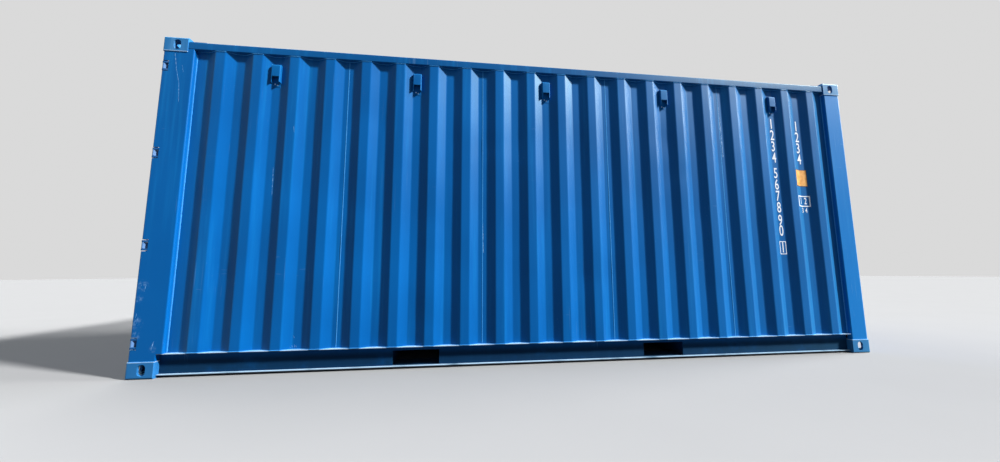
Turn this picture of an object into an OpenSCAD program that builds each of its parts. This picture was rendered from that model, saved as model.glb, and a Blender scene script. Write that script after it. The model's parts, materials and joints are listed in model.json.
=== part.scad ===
/* [Overall] */
// Length over the corner castings
length = 6058; // [5900:1:6200]
// Width over the corner castings
width = 2438; // [2400:1:2480]
// Height over the corner castings
height = 2591; // [2500:1:2900]
// How far the frame's outer faces lie inside the castings' faces
frame_set = 5; // [3:0.5:8]

/* [Corner castings] */
// Length of a casting along the container
cast_l = 178; // [176:0.5:182]
// Width of a casting across the container
cast_w = 162; // [160:0.5:166]
// Height of a casting
cast_h = 118; // [116:0.5:122]
// Radius of a casting's outer edges
cast_r = 14; // [6:0.5:16]
// Wall with the twistlock hole
cast_plate = 28; // [26:0.5:30]
// Other walls of a casting that carry a hole
cast_wall = 16; // [12:0.5:18]
// Closed walls towards the posts and rails
cast_back = 11; // [8:0.5:12]
// Length of the twistlock hole
lock_hole_l = 124.5; // [122:0.5:126]
// Width of the twistlock hole
lock_hole_w = 63.5; // [60:0.5:65]
// Twistlock hole's centre from the container's end
lock_from_end = 102.5; // [98:0.5:106]
// Twistlock hole's centre from the container's side
lock_from_side = 89.5; // [86:0.5:93]
// Width of the side hole
side_hole_w = 51; // [46:0.5:54]
// Width of the end hole
end_hole_w = 63.5; // [58:0.5:66]
// Height of the side and end holes
face_hole_h = 79.5; // [74:0.5:82]
// Side hole's centre from the container's end
side_hole_x = 102; // [95:0.5:108]
// End hole's centre from the container's side
end_hole_y = 89; // [84:0.5:96]
// Centre of both face holes from the casting's outer level face
face_hole_z = 61.5; // [58:0.5:64]

/* [Rear posts] */
// Thickness of the pressed outer plate
rear_plate = 6; // [5:0.5:8]
// Width of the outer plate's side face
rear_post_l = 220; // [200:1:240]
// Width of the post at the door opening, from the container's side
rear_post_w = 49; // [46:0.5:60]
// Length of the rolled channel inside the post
post_channel_l = 113; // [100:1:120]
// Thickness of the rolled channel
post_channel_t = 12; // [8:0.5:13]
// Depth of the hinge notches from the container's end
notch_l = 52; // [50:0.5:58]
// Radius in the notches' corners
notch_r = 6; // [3:0.5:10]

/* [Front posts] */
// Thickness of the front post
front_plate = 6; // [5:0.5:8]
// Width of the front post's side face
front_post_l = 167; // [150:1:170]
// Width of the front post's front face
front_post_w = 145; // [120:1:155]

/* [Rails] */
// Outer size of the square top rails
top_rail = 60; // [50:1:70]
// Wall of the top rails
top_rail_t = 3; // [2.5:0.5:5]
// Top of the top rails below the castings' top
top_rail_drop = 32; // [28:1:36]
// Underside of the bottom rails above the ground face
rail_z = 18; // [14:0.5:22]
// Height of the bottom side rails
rail_h = 152; // [140:1:162]
// Width of the bottom rails' upper flange
rail_upper = 48; // [44:1:56]
// Width of the bottom rails' lower flange
rail_lower = 30; // [24:1:44]
// Thickness of the bottom rails
rail_t = 4.5; // [4:0.5:6]

/* [Side walls] */
// How far the side walls' outer faces lie inside the castings' faces
wall_set = 8; // [6:0.5:12]
// Thickness of the wall sheet
wall_t = 2; // [1.6:0.1:3]
// Width of a corrugation's outer face
wave_outer = 70; // [60:1:80]
// Width of a corrugation's inner face
wave_inner = 64; // [50:1:80]
// Run of a corrugation's slope along the wall
wave_slope = 72; // [50:1:80]
// Depth of the corrugation
wave_depth = 32; // [24:1:36]
// Corrugations in one sheet
wave_count = 4; // [3:1:6]
// Extra flat width where two sheets are welded together
sheet_joint = 8; // [0:1:20]
// Flat wall between the rear post and the first sheet
rear_flat = 44; // [20:1:60]

/* [Front wall] */
// Thickness of the front wall sheet
front_t = 2; // [1.6:0.1:3]
// Width of an outer face of the front wall
front_outer = 110; // [90:1:120]
// Width of an inner face of the front wall
front_inner = 104; // [90:1:120]
// Run of a slope of the front wall
front_slope = 18; // [10:1:30]
// Depth of the front wall's corrugation
front_depth = 45.6; // [30:0.1:50]

/* [Roof] */
// Thickness of the roof sheet
roof_t = 2; // [1.6:0.1:3]
// Width of a raised or a low face of the roof
roof_flat = 91; // [80:0.5:110]
// Run of a slope of the roof
roof_slope = 13.5; // [8:0.5:20]
// Height of the roof's corrugation
roof_depth = 20; // [12:1:22]
// Roof sheet's edges from the container's sides
roof_set = 12; // [8:1:30]
// Flat margin beside the corrugation
roof_margin = 62; // [40:1:90]
// Length of the flat plates at the roof's ends
end_plate_l = 300; // [260:1:340]
// Thickness of the end plates and corner plates
end_plate_t = 3; // [3:0.5:4]
// Width of the doubled corner plates
corner_plate_w = 270; // [240:1:300]

/* [Base] */
// Underside of the cross members above the ground face
base_z = 17; // [14:0.5:20]
// Height of the cross members
cross_h = 122; // [100:1:125]
// Width of the cross members' upper flange
cross_upper = 45; // [40:1:75]
// Width of the cross members' lower flange
cross_lower = 40; // [35:1:60]
// Thickness of the cross members
cross_t = 4; // [3:0.5:6]
// Largest distance between cross members
cross_pitch = 300; // [280:5:420]
// Distance between the fork pockets' centres
pocket_pitch = 2080; // [2000:5:2150]
// Width of a fork pocket
pocket_w = 360; // [330:1:380]
// Thickness of the fork pockets' top plates
pocket_top_t = 3; // [2:0.5:5]
// Thickness of the straps under the fork pockets
strap_t = 6; // [4:0.5:7]
// Width of the straps under the fork pockets
strap_w = 200; // [150:5:250]

/* [Floor] */
// Thickness of the floor boards
board_t = 28; // [26:0.5:30]
// Boards along the container
board_count = 5; // [4:1:7]
// Gap between boards
board_gap = 2; // [1:0.5:4]
// Width of the centre rail between the boards
centre_rail_w = 24; // [18:1:60]
// Thickness of the centre rail
centre_rail_t = 3; // [2:0.5:5]
// Length of the threshold plate
threshold_l = 180; // [120:5:250]
// Thickness of the threshold plate
threshold_t = 3; // [2:0.5:5]

/* [Door frame] */
// Thickness of the door sill, door header and front sill
sill_t = 4; // [3:0.5:6]
// Top of the sill under the doors
sill_top = 157; // [150:1:162]
// Underside of the door header below the castings' top
header_drop = 150; // [140:1:160]
// Depth of the door header and sill along the container
header_l = 92; // [80:1:100]
// How far the sill's raised lip runs in behind the gaskets' gap
sill_lip = 26; // [15:1:40]
// Gap between the closed gaskets and the sill's raised lip
gasket_gap = 8; // [5:0.5:12]
// Depth of the front sill
front_sill_l = 72; // [60:1:90]

/* [Doors] */
// Doors' outer face from the container's end
door_face = 76; // [72:1:82]
// Thickness of the door frames
door_t = 50; // [40:1:52]
// Width of the door frames' uprights
upright_w = 100; // [80:1:120]
// Height of the door frames' cross rails
cross_rail_h = 150; // [120:1:180]
// Wall of the door frames
door_wall = 3; // [2.5:0.5:5]
// Gap between the door frames and the opening
door_gap = 12; // [10:0.5:14]
// Half of the gap between the two door frames
door_half_gap = 11; // [10:0.5:14]
// Thickness of the door panels
panel_t = 2; // [1.6:0.1:3]
// Recess of the panels behind the frames' outer face
panel_set = 3; // [0:0.5:6]
// Depth of the door panels' corrugation
panel_depth = 36; // [20:1:40]
// Recessed bands in a door panel
panel_bands = 5; // [3:1:7]
// Height of a recessed band
band_h = 150; // [100:5:180]
// Rise of the slopes beside a band
band_slope = 30; // [15:1:40]
// Projection of the gasket's lip from the frame's edge
gasket_lip = 6; // [3:0.5:6]
// Thickness of the gasket on the frame's inner face
gasket_t = 3; // [2:0.5:5]
// Width of the gasket's seat on the frame's inner face
gasket_w = 35; // [20:1:45]

/* [Hinges] */
// Hinge axis from the container's end
hinge_x = 14; // [13:0.5:18]
// Hinge axis from the container's side
hinge_y = 16; // [15:0.5:18]
// Radius of the hinge pins
pin_r = 6.5; // [5:0.25:7]
// Running clearance round the pins
pin_clear = 0.05; // [0.02:0.01:0.1]
// Radius of the hinge knuckles
knuckle_r = 10; // [9:0.5:11]
// Height of the blades at the knuckle
knuckle_h = 46; // [36:1:50]
// Radius of the lugs' round ends
lug_r = 11; // [10:0.5:11]
// Thickness of the lugs
lug_t = 14; // [10:1:16]
// Play between the blades and the lugs
lug_play = 1; // [0.5:0.1:1.5]
// Thickness of the hinge blades
blade_t = 10; // [8:0.5:12]
// Height of the blades on the door
blade_h = 80; // [60:1:86]
// Length of the blades on the door
blade_l = 150; // [100:5:170]
// Distance of the blades' flat part from the door's edge
blade_inset = 16; // [10:1:24]
// How far before the door's edge a blade's bend begins
crank_lead = 4; // [0:0.5:8]
// Hinges on each door
hinge_count = 4; // [3:1:5]
// Lowest hinge above the ground face
hinge_z0 = 244; // [220:1:260]
// Highest hinge below the castings' top
hinge_drop = 241; // [220:1:260]

/* [Locking gear] */
// Radius of the locking rods
rod_r = 17; // [13:0.5:18]
// Wall of the locking rods
rod_wall = 4; // [3:0.5:6]
// Rods' centre from the container's end
rod_x = 52; // [51:0.5:54]
// Rods' centres from the sides of a door frame
rod_inset = 235; // [200:5:300]
// Rods' ends from the container's ground and top faces
rod_end = 60; // [56:1:70]
// Half width of the cams
cam_half = 42; // [34:1:44]
// Thickness of the cams
cam_t = 22; // [16:1:24]
// Depth of the cams along the container
cam_l = 18; // [12:1:24]
// How far the cams' hubs stand out round the rods
cam_rim = 2; // [1:0.5:3]
// Gap between a cam and its keeper
cam_gap = 8; // [6:0.5:12]
// Thickness of the keepers
keeper_t = 12; // [8:0.5:14]
// Depth of the keepers from the sill's face
keeper_l = 38; // [30:1:40]
// Height of the keepers
keeper_h = 50; // [40:1:54]
// Height of a rod bracket
bracket_h = 60; // [40:1:80]
// Width of a rod bracket's foot
bracket_w = 90; // [70:1:110]
// Thickness of the straps round the rods
bracket_t = 4; // [3:0.5:4]
// Clearance between a rod and its brackets
rod_clear = 0.3; // [0.2:0.05:0.5]
// Height between the two handles of a door
handle_rise = 90; // [70:5:120]
// Length of the handles
handle_l = 470; // [380:5:500]
// Height of the handle bars
handle_h = 34; // [26:1:40]
// Thickness of the handle bars
handle_t = 8; // [6:0.5:10]
// Radius of the collars that hold the handles on the rods
collar_r = 21; // [20:0.25:21]
// Height of the collars
collar_h = 56; // [44:1:64]
// Distance of a handle's catch from its free end
catch_inset = 60; // [40:5:120]
// Width of the catches
catch_w = 50; // [36:1:70]
// Thickness of the catches' steel
catch_t = 5; // [4:0.5:6]
// Play of a handle in its catch
catch_gap = 3; // [2:0.5:4]
// Height of a catch's lip and of its foot above the handle
catch_lip = 14; // [8:1:20]

/* [Vents] */
// Width of a vent cover
vent_w = 80; // [66:1:92]
// Height of a vent cover
vent_h = 150; // [120:1:180]
// Top of the vent covers below the castings' top
vent_drop = 168; // [150:1:200]
// Thickness of the vent covers' sheet
vent_t = 2; // [1:0.5:3]
// Depth of a vent cover
vent_d = 30; // [22:1:31]
// Width and depth of the slopes round the cover's face
vent_slope = 13; // [6:0.5:16]
// Height of the opening under the cover's face
vent_open = 48; // [20:1:70]
// Width of the back plate
vent_plate_w = 60; // [50:1:64]
// Height of the back plate below a cover
vent_foot = 34; // [20:1:50]

/* [Lashing rings] */
// Radius of the rings' centre line
ring_r = 22; // [18:0.5:26]
// Radius of the rings' bar
ring_bar = 6; // [5:0.5:8]
// Corrugation of each sheet that holds its rings
ring_wave = 1; // [0:1:3]

/* [Hidden] */

round_fn = 48;
cut = 1;
paint = [0.02, 0.27, 0.53];
dark_paint = [0.02, 0.20, 0.42];
steel = [0.62, 0.64, 0.66];
rubber = [0.08, 0.08, 0.08];
timber = [0.55, 0.38, 0.22];

// Levels above the ground face
rail_top = rail_z + rail_h;
top_rail_z1 = height - top_rail_drop;
top_rail_z0 = top_rail_z1 - top_rail;
header_z = height - header_drop;
floor_z = base_z + cross_h;
floor_top = floor_z + board_t;
post_z0 = cast_h;
post_z1 = height - cast_h;

// Places measured inwards from the ends and sides
rear_plate_end = frame_set + rear_post_l;
front_plate_end = frame_set + front_post_l;
wall_inner = wall_set + wave_depth + wall_t;
rail_web = wall_set + rail_upper;
span_x = length - 2 * cast_l;
span_y = width - 2 * cast_w;
base_half = width / 2 - rail_web;
sill_end = door_face + header_l + sill_lip;

// Side wall
wall_x0 = -length / 2 + rear_plate_end;
wall_x1 = length / 2 - front_plate_end;
wave_pitch = wave_outer + wave_inner + 2 * wave_slope;
sheet_w = wave_count * wave_pitch + sheet_joint;
sheet_count = floor((wall_x1 - wall_x0 - rear_flat) / sheet_w);
sheet_x0 = wall_x0 + rear_flat;
first_wave = (sheet_joint + wave_inner) / 2;

// Doors
leaf_y0 = rear_post_w + door_gap;
leaf_y1 = width / 2 - door_half_gap;
leaf_z0 = sill_top + door_gap;
leaf_z1 = header_z - door_gap;
rod_places = [leaf_y0 + rod_inset, leaf_y1 - rod_inset];
hinge_pitch = (height - hinge_drop - hinge_z0) / (hinge_count - 1);
hinge_heights = [for (i = [0 : hinge_count - 1]) hinge_z0 + i * hinge_pitch];
notch_h = knuckle_h + 2 * (lug_play + lug_t + notch_r);
window_y0 = leaf_y0 + upright_w;
window_y1 = leaf_y1 - upright_w;
window_z0 = leaf_z0 + cross_rail_h;
window_z1 = leaf_z1 - cross_rail_h;
window_h = window_z1 - window_z0;
band_pitch = window_h / panel_bands;
panel_face = door_face + panel_set;
handle_heights = [window_z0 + 2 * band_pitch - handle_rise / 2,
                  window_z0 + 2 * band_pitch + handle_rise / 2];

function unit(v) = v / norm(v);
function left_of(v) = [-v.y, v.x];
function heading(path, i) = unit(path[i + 1] - path[i]);
function mitre(path, i) =
    let (last = len(path) - 1)
    let (before = left_of(heading(path, max(i - 1, 0))))
    let (after = left_of(heading(path, min(i, last - 1))))
    (before + after) / (1 + before * after);
// The path moved to its left
function moved(path, t) = [for (i = [0 : len(path) - 1]) path[i] + t * mitre(path, i)];
function reversed(path) = [for (i = [len(path) - 1 : -1 : 0]) path[i]];

// Section of a sheet pressed along a path, its thickness on the path's left
module pressed(path, t) {
    polygon(concat(path, reversed(moved(path, t))));
}

module along_x(span) {
    rotate([90, 0, 90]) linear_extrude(span, center = true) children();
}

module along_y(span) {
    rotate([90, 0, 0]) linear_extrude(span, center = true) children();
}

module to_front(end) {
    if (end == "front") mirror([1, 0, 0]) children();
    else children();
}

module to_left(side) {
    if (side == "left") mirror([0, 1, 0]) children();
    else children();
}

// Children are drawn inwards from a corner: x from the end, y from the side
module from_corner(end, side) {
    to_front(end) to_left(side) translate([-length / 2, -width / 2, 0]) children();
}

module both_sides() {
    for (side = ["right", "left"]) to_left(side) children();
}

// Rectangle with the corner at its origin rounded
module rounded_corner(w, h, r) {
    translate([r, 0]) square([w - r, h]);
    translate([0, r]) square([w, h - r]);
    translate([r, r]) circle(r, $fn = round_fn);
}

// Slot with round ends, its length along x
module slot(l, w) {
    square([l - w, w], center = true);
    for (dir = [-1, 1]) translate([dir * (l - w) / 2, 0]) circle(w / 2, $fn = round_fn);
}

module casting_body() {
    intersection() {
        linear_extrude(cast_h) rounded_corner(cast_l, cast_w, cast_r);
        translate([0, cast_w, 0]) rotate([90, 0, 0]) linear_extrude(cast_w)
            rounded_corner(cast_l, cast_h, cast_r);
        rotate([90, 0, 90]) linear_extrude(cast_l) rounded_corner(cast_w, cast_h, cast_r);
    }
}

module casting_holes() {
    translate([lock_from_end, lock_from_side, -cut])
        linear_extrude(cast_plate + 2 * cut) slot(lock_hole_l, lock_hole_w);
    translate([side_hole_x, cast_wall + cut, face_hole_z])
        rotate([90, 0, 0]) linear_extrude(cast_wall + 2 * cut)
            rotate(90) slot(face_hole_h, side_hole_w);
    translate([-cut, end_hole_y, face_hole_z])
        rotate([90, 0, 90]) linear_extrude(cast_wall + 2 * cut)
            rotate(90) slot(face_hole_h, end_hole_w);
}

module casting(end, side, level) {
    color(paint) from_corner(end, side)
        translate([0, 0, level == "top" ? height : 0]) mirror([0, 0, level == "top" ? 1 : 0])
            difference() {
                casting_body();
                translate([cast_wall, cast_wall, cast_plate])
                    cube([cast_l - cast_wall - cast_back, cast_w - cast_wall - cast_back,
                          cast_h - cast_plate - cast_back]);
                casting_holes();
            }
}

module notch_shape() {
    translate([-cut, -notch_h / 2]) square([notch_l - notch_r + cut, notch_h]);
    translate([-cut, notch_r - notch_h / 2]) square([notch_l + cut, notch_h - 2 * notch_r]);
    for (dir = [-1, 1]) translate([notch_l - notch_r, dir * (notch_h / 2 - notch_r)])
        circle(notch_r, $fn = round_fn);
}

module rear_post_plates() {
    section = [[frame_set, rear_post_w], [frame_set, frame_set],
               [rear_plate_end, frame_set], [rear_plate_end, wall_inner]];
    color(paint) both_sides() from_corner("rear", "right") difference() {
        translate([0, 0, post_z0]) linear_extrude(top_rail_z0 - post_z0)
            pressed(section, rear_plate);
        translate([cast_l, 0, post_z0 - cut])
            cube([rear_post_l, width / 4, rail_top - post_z0 + cut]);
        translate([-cut, -cut, post_z1])
            cube([cast_l + cut, width / 4, cast_h]);
        for (z = hinge_heights) translate([0, width / 4, z]) rotate([90, 0, 0])
            linear_extrude(width / 2) notch_shape();
    }
}

module rear_post_channels() {
    depth = rear_post_w - frame_set - rear_plate;
    color(dark_paint) both_sides() from_corner("rear", "right")
        translate([notch_l, frame_set + rear_plate, post_z0])
            linear_extrude(post_z1 - post_z0) difference() {
                square([post_channel_l, depth]);
                translate([post_channel_t, -cut])
                    square([post_channel_l - 2 * post_channel_t, depth - post_channel_t + cut]);
            }
}

module front_posts() {
    section = [[frame_set + front_depth, frame_set + front_post_w],
               [frame_set, frame_set + front_post_w], [frame_set, frame_set],
               [front_plate_end, frame_set], [front_plate_end, wall_inner]];
    color(paint) both_sides() from_corner("front", "right")
        translate([0, 0, post_z0]) linear_extrude(post_z1 - post_z0)
            pressed(section, front_plate);
}

// What the end beams leave free for the castings, which hold them at their ends
module casting_space(z, h) {
    for (side = ["right", "left"]) from_corner("rear", side)
        translate([-cut, -cut, z]) cube([cast_l + cut, cast_w + cut, h]);
}

module door_header() {
    section = [[door_face + header_l, height - cast_h / 2], [door_face + header_l, top_rail_z1],
               [door_face, top_rail_z1], [door_face, header_z],
               [door_face + header_l, header_z]];
    color(paint) difference() {
        translate([-length / 2, 0, 0]) along_y(width - 2 * rear_post_w) pressed(section, sill_t);
        casting_space(post_z1, cast_h + cut);
    }
}

module door_sill() {
    rise = floor_top - sill_top;
    seal_end = door_face + door_t + gasket_t + gasket_gap;
    section = [[sill_end, floor_top], [seal_end + rise, floor_top], [seal_end, sill_top],
               [door_face, sill_top], [door_face, base_z], [door_face + header_l, base_z]];
    color(paint) difference() {
        translate([-length / 2, 0, 0]) along_y(width - 2 * rear_post_w) pressed(section, sill_t);
        casting_space(-cut, cast_h + cut);
        for (side = ["right", "left"]) from_corner("rear", side)
            translate([cast_l, -cut, -cut]) cube([cast_l, rail_web + cut, height]);
    }
}

module threshold_plate() {
    color(steel) translate([-length / 2 + sill_end - header_l / 2, -base_half, floor_top])
        cube([threshold_l, 2 * base_half, threshold_t]);
}

module front_top_rail() {
    color(paint) translate([length / 2 - wall_set - top_rail / 2, 0, (top_rail_z0 + top_rail_z1) / 2])
        along_y(span_y) difference() {
            square(top_rail, center = true);
            square(top_rail - 2 * top_rail_t, center = true);
        }
}

module front_sill() {
    section = [[wall_set + front_sill_l, rail_top], [wall_set, rail_top],
               [wall_set, rail_z], [wall_set + front_sill_l, rail_z]];
    color(paint) mirror([1, 0, 0]) difference() {
        translate([-length / 2, 0, 0])
            along_y(width - 2 * (frame_set + front_post_w)) pressed(section, sill_t);
        casting_space(-cut, cast_h + cut);
    }
}

module top_side_rails() {
    color(paint) both_sides()
        translate([0, -width / 2 + frame_set + top_rail / 2, (top_rail_z0 + top_rail_z1) / 2])
            along_x(span_x) difference() {
                square(top_rail, center = true);
                square(top_rail - 2 * top_rail_t, center = true);
            }
}

module bottom_side_rail(side) {
    section = [[rail_web - rail_lower, rail_z], [rail_web, rail_z],
               [rail_web, rail_top], [wall_set, rail_top]];
    color(paint) to_left(side) difference() {
        translate([0, -width / 2, 0]) along_x(span_x) pressed(section, rail_t);
        for (dir = [-1, 1])
            translate([dir * pocket_pitch / 2 - pocket_w / 2, -width / 2 + rail_web - rail_t - cut,
                       base_z + strap_t])
                cube([pocket_w, rail_t + 2 * cut, cross_h - strap_t - pocket_top_t]);
    }
}

function wave_points(x, outer, slope, depth) =
    [[x, depth], [x + slope, 0], [x + slope + outer, 0], [x + 2 * slope + outer, depth]];

module side_wall(side) {
    waves = [for (s = [0 : sheet_count - 1], j = [0 : wave_count - 1])
        each wave_points(sheet_x0 + s * sheet_w + first_wave + j * wave_pitch,
                         wave_outer, wave_slope, wave_depth)];
    section = concat([[wall_x0, wave_depth]], waves, [[wall_x1, wave_depth]]);
    color(paint) to_left(side) difference() {
        translate([0, -width / 2 + wall_set, rail_top])
            linear_extrude(top_rail_z0 - rail_top) pressed(section, wall_t);
        mirror([1, 0, 0]) casting_space(post_z1, cast_h);
    }
}

module front_wall() {
    half = width / 2 - frame_set - front_post_w;
    pitch = front_outer + front_inner + 2 * front_slope;
    count = floor((2 * half + front_inner - 2 * front_slope) / pitch);
    first = -(count * pitch - front_inner) / 2;
    waves = [for (j = [0 : count - 1])
        each wave_points(first + j * pitch, front_outer, front_slope, front_depth)];
    line = concat([[-half, front_depth]], waves, [[half, front_depth]]);
    color(paint) mirror([1, 0, 0]) difference() {
        translate([-length / 2 + wall_set, 0, rail_top])
            linear_extrude(top_rail_z0 - rail_top)
                pressed([for (p = line) [p.y, -p.x]], front_t);
        casting_space(post_z1, cast_h);
    }
}

// Everything below the roof's surface, with the raised faces' ends sloping down
module roof_form(drop) {
    panel_l = length - 2 * end_plate_l;
    panel_w = width - 2 * roof_set;
    pitch = 2 * (roof_flat + roof_slope);
    count = floor((panel_l - roof_flat / 2) / pitch);
    low = 2 * roof_depth;
    crest = [[-roof_flat / 2 - roof_slope, 0], [-roof_flat / 2, roof_depth],
             [roof_flat / 2, roof_depth], [roof_flat / 2 + roof_slope, 0],
             [roof_flat / 2 + roof_slope, -low / 2], [-roof_flat / 2 - roof_slope, -low / 2]];
    side = panel_w / 2 - roof_margin;
    across = [[-side, 0], [-side + 2 * roof_depth, roof_depth], [side - 2 * roof_depth, roof_depth],
              [side, 0], [side, -low / 2], [-side, -low / 2]];
    translate([0, 0, top_rail_z1 + roof_t - drop]) union() {
        translate([-panel_l / 2, -panel_w / 2, -low]) cube([panel_l, panel_w, low]);
        intersection() {
            for (j = [0 : count - 1]) translate([(j - (count - 1) / 2) * pitch, 0, 0])
                along_y(panel_w) polygon(crest);
            along_x(panel_l) polygon(across);
        }
    }
}

module roof_panel() {
    color(paint) difference() {
        roof_form(0);
        roof_form(roof_t);
    }
}

// Flat plate across the roof's end, doubled at both corners, from start to end_plate_l
module roof_end_plate(start) {
    half = width / 2 - roof_set;
    plate_l = end_plate_l - start;
    translate([-length / 2 + start, 0, top_rail_z1]) difference() {
        union() {
            translate([0, -half, 0]) cube([plate_l, 2 * half, end_plate_t]);
            for (dir = [-1, 1]) translate([plate_l / 2, dir * (half - corner_plate_w / 2),
                                           end_plate_t * 1.5])
                cube([plate_l, corner_plate_w, end_plate_t], center = true);
        }
        translate([length / 2 - start, 0, 0]) casting_space(-cut, cast_h);
    }
}

module roof_end_plates() {
    color(paint) {
        roof_end_plate(door_face);
        to_front("front") roof_end_plate(wall_set);
    }
}

module floor_boards() {
    x0 = -length / 2 + sill_end;
    x1 = length / 2 - wall_set - front_sill_l;
    board_l = (x1 - x0 - (board_count + 1) * board_gap) / board_count;
    board_w = base_half - centre_rail_w / 2 - 2 * board_gap;
    color(timber) both_sides() for (i = [0 : board_count - 1])
        translate([x0 + board_gap + i * (board_l + board_gap), -base_half + board_gap, floor_z])
            cube([board_l, board_w, board_t]);
}

module floor_centre_rail() {
    x0 = -length / 2 + sill_end + board_gap;
    x1 = length / 2 - wall_set - front_sill_l - board_gap;
    half = centre_rail_w / 2;
    section = [[half, floor_z], [half, floor_top], [-half, floor_top], [-half, floor_z]];
    color(dark_paint) translate([(x0 + x1) / 2, 0, 0])
        along_x(x1 - x0) pressed(section, centre_rail_t);
}

module cross_member(x, flange_dir) {
    section = [[cross_upper, floor_z], [0, floor_z], [0, base_z], [cross_lower, base_z]];
    translate([x, 0, 0]) mirror([flange_dir < 0 ? 1 : 0, 0, 0])
        along_y(2 * base_half) pressed(section, cross_t);
}

// Members spread evenly between two places that are already taken
module members_between(x0, x1) {
    bays = ceil((x1 - x0) / cross_pitch);
    for (i = [1 : bays - 1]) cross_member(x0 + i * (x1 - x0) / bays, 1);
}

module cross_members() {
    inner = pocket_pitch / 2 - pocket_w / 2;
    outer = pocket_pitch / 2 + pocket_w / 2;
    color(dark_paint) {
        for (dir = [-1, 1]) {
            cross_member(dir * inner, -dir);
            cross_member(dir * outer, dir);
        }
        members_between(-inner, inner);
        members_between(outer, length / 2 - wall_set - front_sill_l);
        members_between(-length / 2 + sill_end, -outer);
    }
}

module fork_pocket_plates() {
    color(dark_paint) for (dir = [-1, 1]) {
        translate([dir * pocket_pitch / 2 - pocket_w / 2, -base_half, floor_z - pocket_top_t])
            cube([pocket_w, 2 * base_half, pocket_top_t]);
        both_sides()
            translate([dir * pocket_pitch / 2 - pocket_w / 2, -base_half, base_z])
                cube([pocket_w, strap_w, strap_t]);
    }
}

// Box with sloping edges, every face moved inwards by inset, open at the back and below
module vent_form(inset) {
    front = wave_depth - vent_d;
    half = vent_w / 2;
    plan = [[-half, wave_depth + cut], [-half, front + vent_slope], [-half + vent_slope, front],
            [half - vent_slope, front], [half, front + vent_slope], [half, wave_depth + cut]];
    side = [[front, -cut], [front, vent_h - vent_slope], [front + vent_slope, vent_h],
            [wave_depth + cut, vent_h]];
    intersection() {
        translate([0, 0, -cut]) linear_extrude(vent_h + 2 * cut) polygon(moved(plan, inset));
        along_x(vent_w + 2 * cut) polygon(concat(moved(side, -inset), [[wave_depth + cut, -cut]]));
    }
}

// What lies behind the outer surface of a corrugation's inner face and its two slopes
module wall_behind() {
    foot = wave_inner / 2;
    brow = foot + wave_slope;
    translate([0, 0, -cut]) linear_extrude(vent_h + 2 * cut)
        polygon([[-brow, 0], [-foot, wave_depth], [foot, wave_depth], [brow, 0],
                 [brow, 2 * wave_depth], [-brow, 2 * wave_depth]]);
}

module vent_cover() {
    difference() {
        vent_form(0);
        vent_form(vent_t);
        wall_behind();
        translate([-vent_w, -vent_w, -2 * cut]) cube([2 * vent_w, 2 * vent_w, 2 * cut]);
        translate([vent_slope - vent_w / 2, -cut, -cut])
            cube([vent_w - 2 * vent_slope, wave_depth - vent_d + vent_t + 2 * cut, vent_open + cut]);
    }
    translate([-vent_plate_w / 2, wave_depth - vent_t, -vent_foot])
        cube([vent_plate_w, vent_t, vent_h + vent_foot]);
}

module vent_covers() {
    color(paint) both_sides() for (s = [0 : sheet_count - 1])
        translate([sheet_x0 + (s + 0.5) * sheet_w, -width / 2 + wall_set,
                   height - vent_drop - vent_h])
            vent_cover();
}

// Bar bent to half a ring, standing on its two ends
module lashing_ring() {
    rotate([90, 0, 0]) rotate_extrude(angle = 180, $fn = round_fn)
        translate([ring_r, 0]) circle(ring_bar, $fn = round_fn);
}

module lashing_rings() {
    color(paint) both_sides() for (s = [0 : sheet_count - 1])
        translate([sheet_x0 + s * sheet_w + first_wave + ring_wave * wave_pitch + wave_slope
                   + wave_outer / 2, -width / 2 + wall_set + wall_t + wave_depth / 2, 0]) {
            translate([0, 0, rail_top]) lashing_ring();
            translate([0, 0, top_rail_z0]) mirror([0, 0, 1]) lashing_ring();
        }
}

module hinge_lug() {
    difference() {
        union() {
            circle(lug_r, $fn = round_fn);
            translate([0, -knuckle_r]) square([notch_l - hinge_x, 2 * knuckle_r]);
        }
        circle(pin_r, $fn = round_fn);
    }
}

module hinge_lugs() {
    reach = knuckle_h / 2 + lug_play;
    color(dark_paint) both_sides() from_corner("rear", "right")
        for (z = hinge_heights) translate([hinge_x, hinge_y, z]) {
            for (dir = [-1, 1]) translate([0, 0, dir * (reach + lug_t / 2) - lug_t / 2])
                linear_extrude(lug_t) hinge_lug();
            translate([0, 0, -reach - lug_t]) cylinder(r = pin_r, h = 2 * (reach + lug_t), $fn = round_fn);
        }
}

module keeper() {
    half = cam_half + cam_gap;
    z0 = rod_end - cam_gap / 2 - keeper_t;
    for (dir = [-1, 1])
        translate([door_face - keeper_l, dir * (half + keeper_t / 2) - keeper_t / 2, z0])
            cube([keeper_l, keeper_t, keeper_h]);
    translate([door_face - keeper_l, -half - keeper_t, z0]) cube([keeper_l, 2 * (half + keeper_t), keeper_t / 2]);
}

module cam_keepers() {
    color(steel) both_sides() from_corner("rear", "right") for (y = rod_places) {
        translate([0, y, 0]) keeper();
        translate([0, y, height]) mirror([0, 0, 1]) keeper();
    }
}

module upright(y) {
    translate([door_face, y, leaf_z0]) difference() {
        cube([door_t, upright_w, leaf_z1 - leaf_z0]);
        translate([door_wall, door_wall, -cut])
            cube([door_t - 2 * door_wall, upright_w - 2 * door_wall, leaf_z1 - leaf_z0 + 2 * cut]);
    }
}

module door_frame(side) {
    middle = (window_y0 + window_y1) / 2;
    low = [[door_face + door_t, window_z0], [door_face, window_z0],
           [door_face, leaf_z0], [door_face + door_t, leaf_z0]];
    high = [[door_face + door_t, leaf_z1], [door_face, leaf_z1],
            [door_face, window_z1], [door_face + door_t, window_z1]];
    color(paint) from_corner("rear", side) {
        upright(leaf_y0);
        upright(leaf_y1 - upright_w);
        for (section = [low, high])
            translate([0, middle, 0]) along_y(window_y1 - window_y0) pressed(section, door_wall);
    }
}

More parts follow.
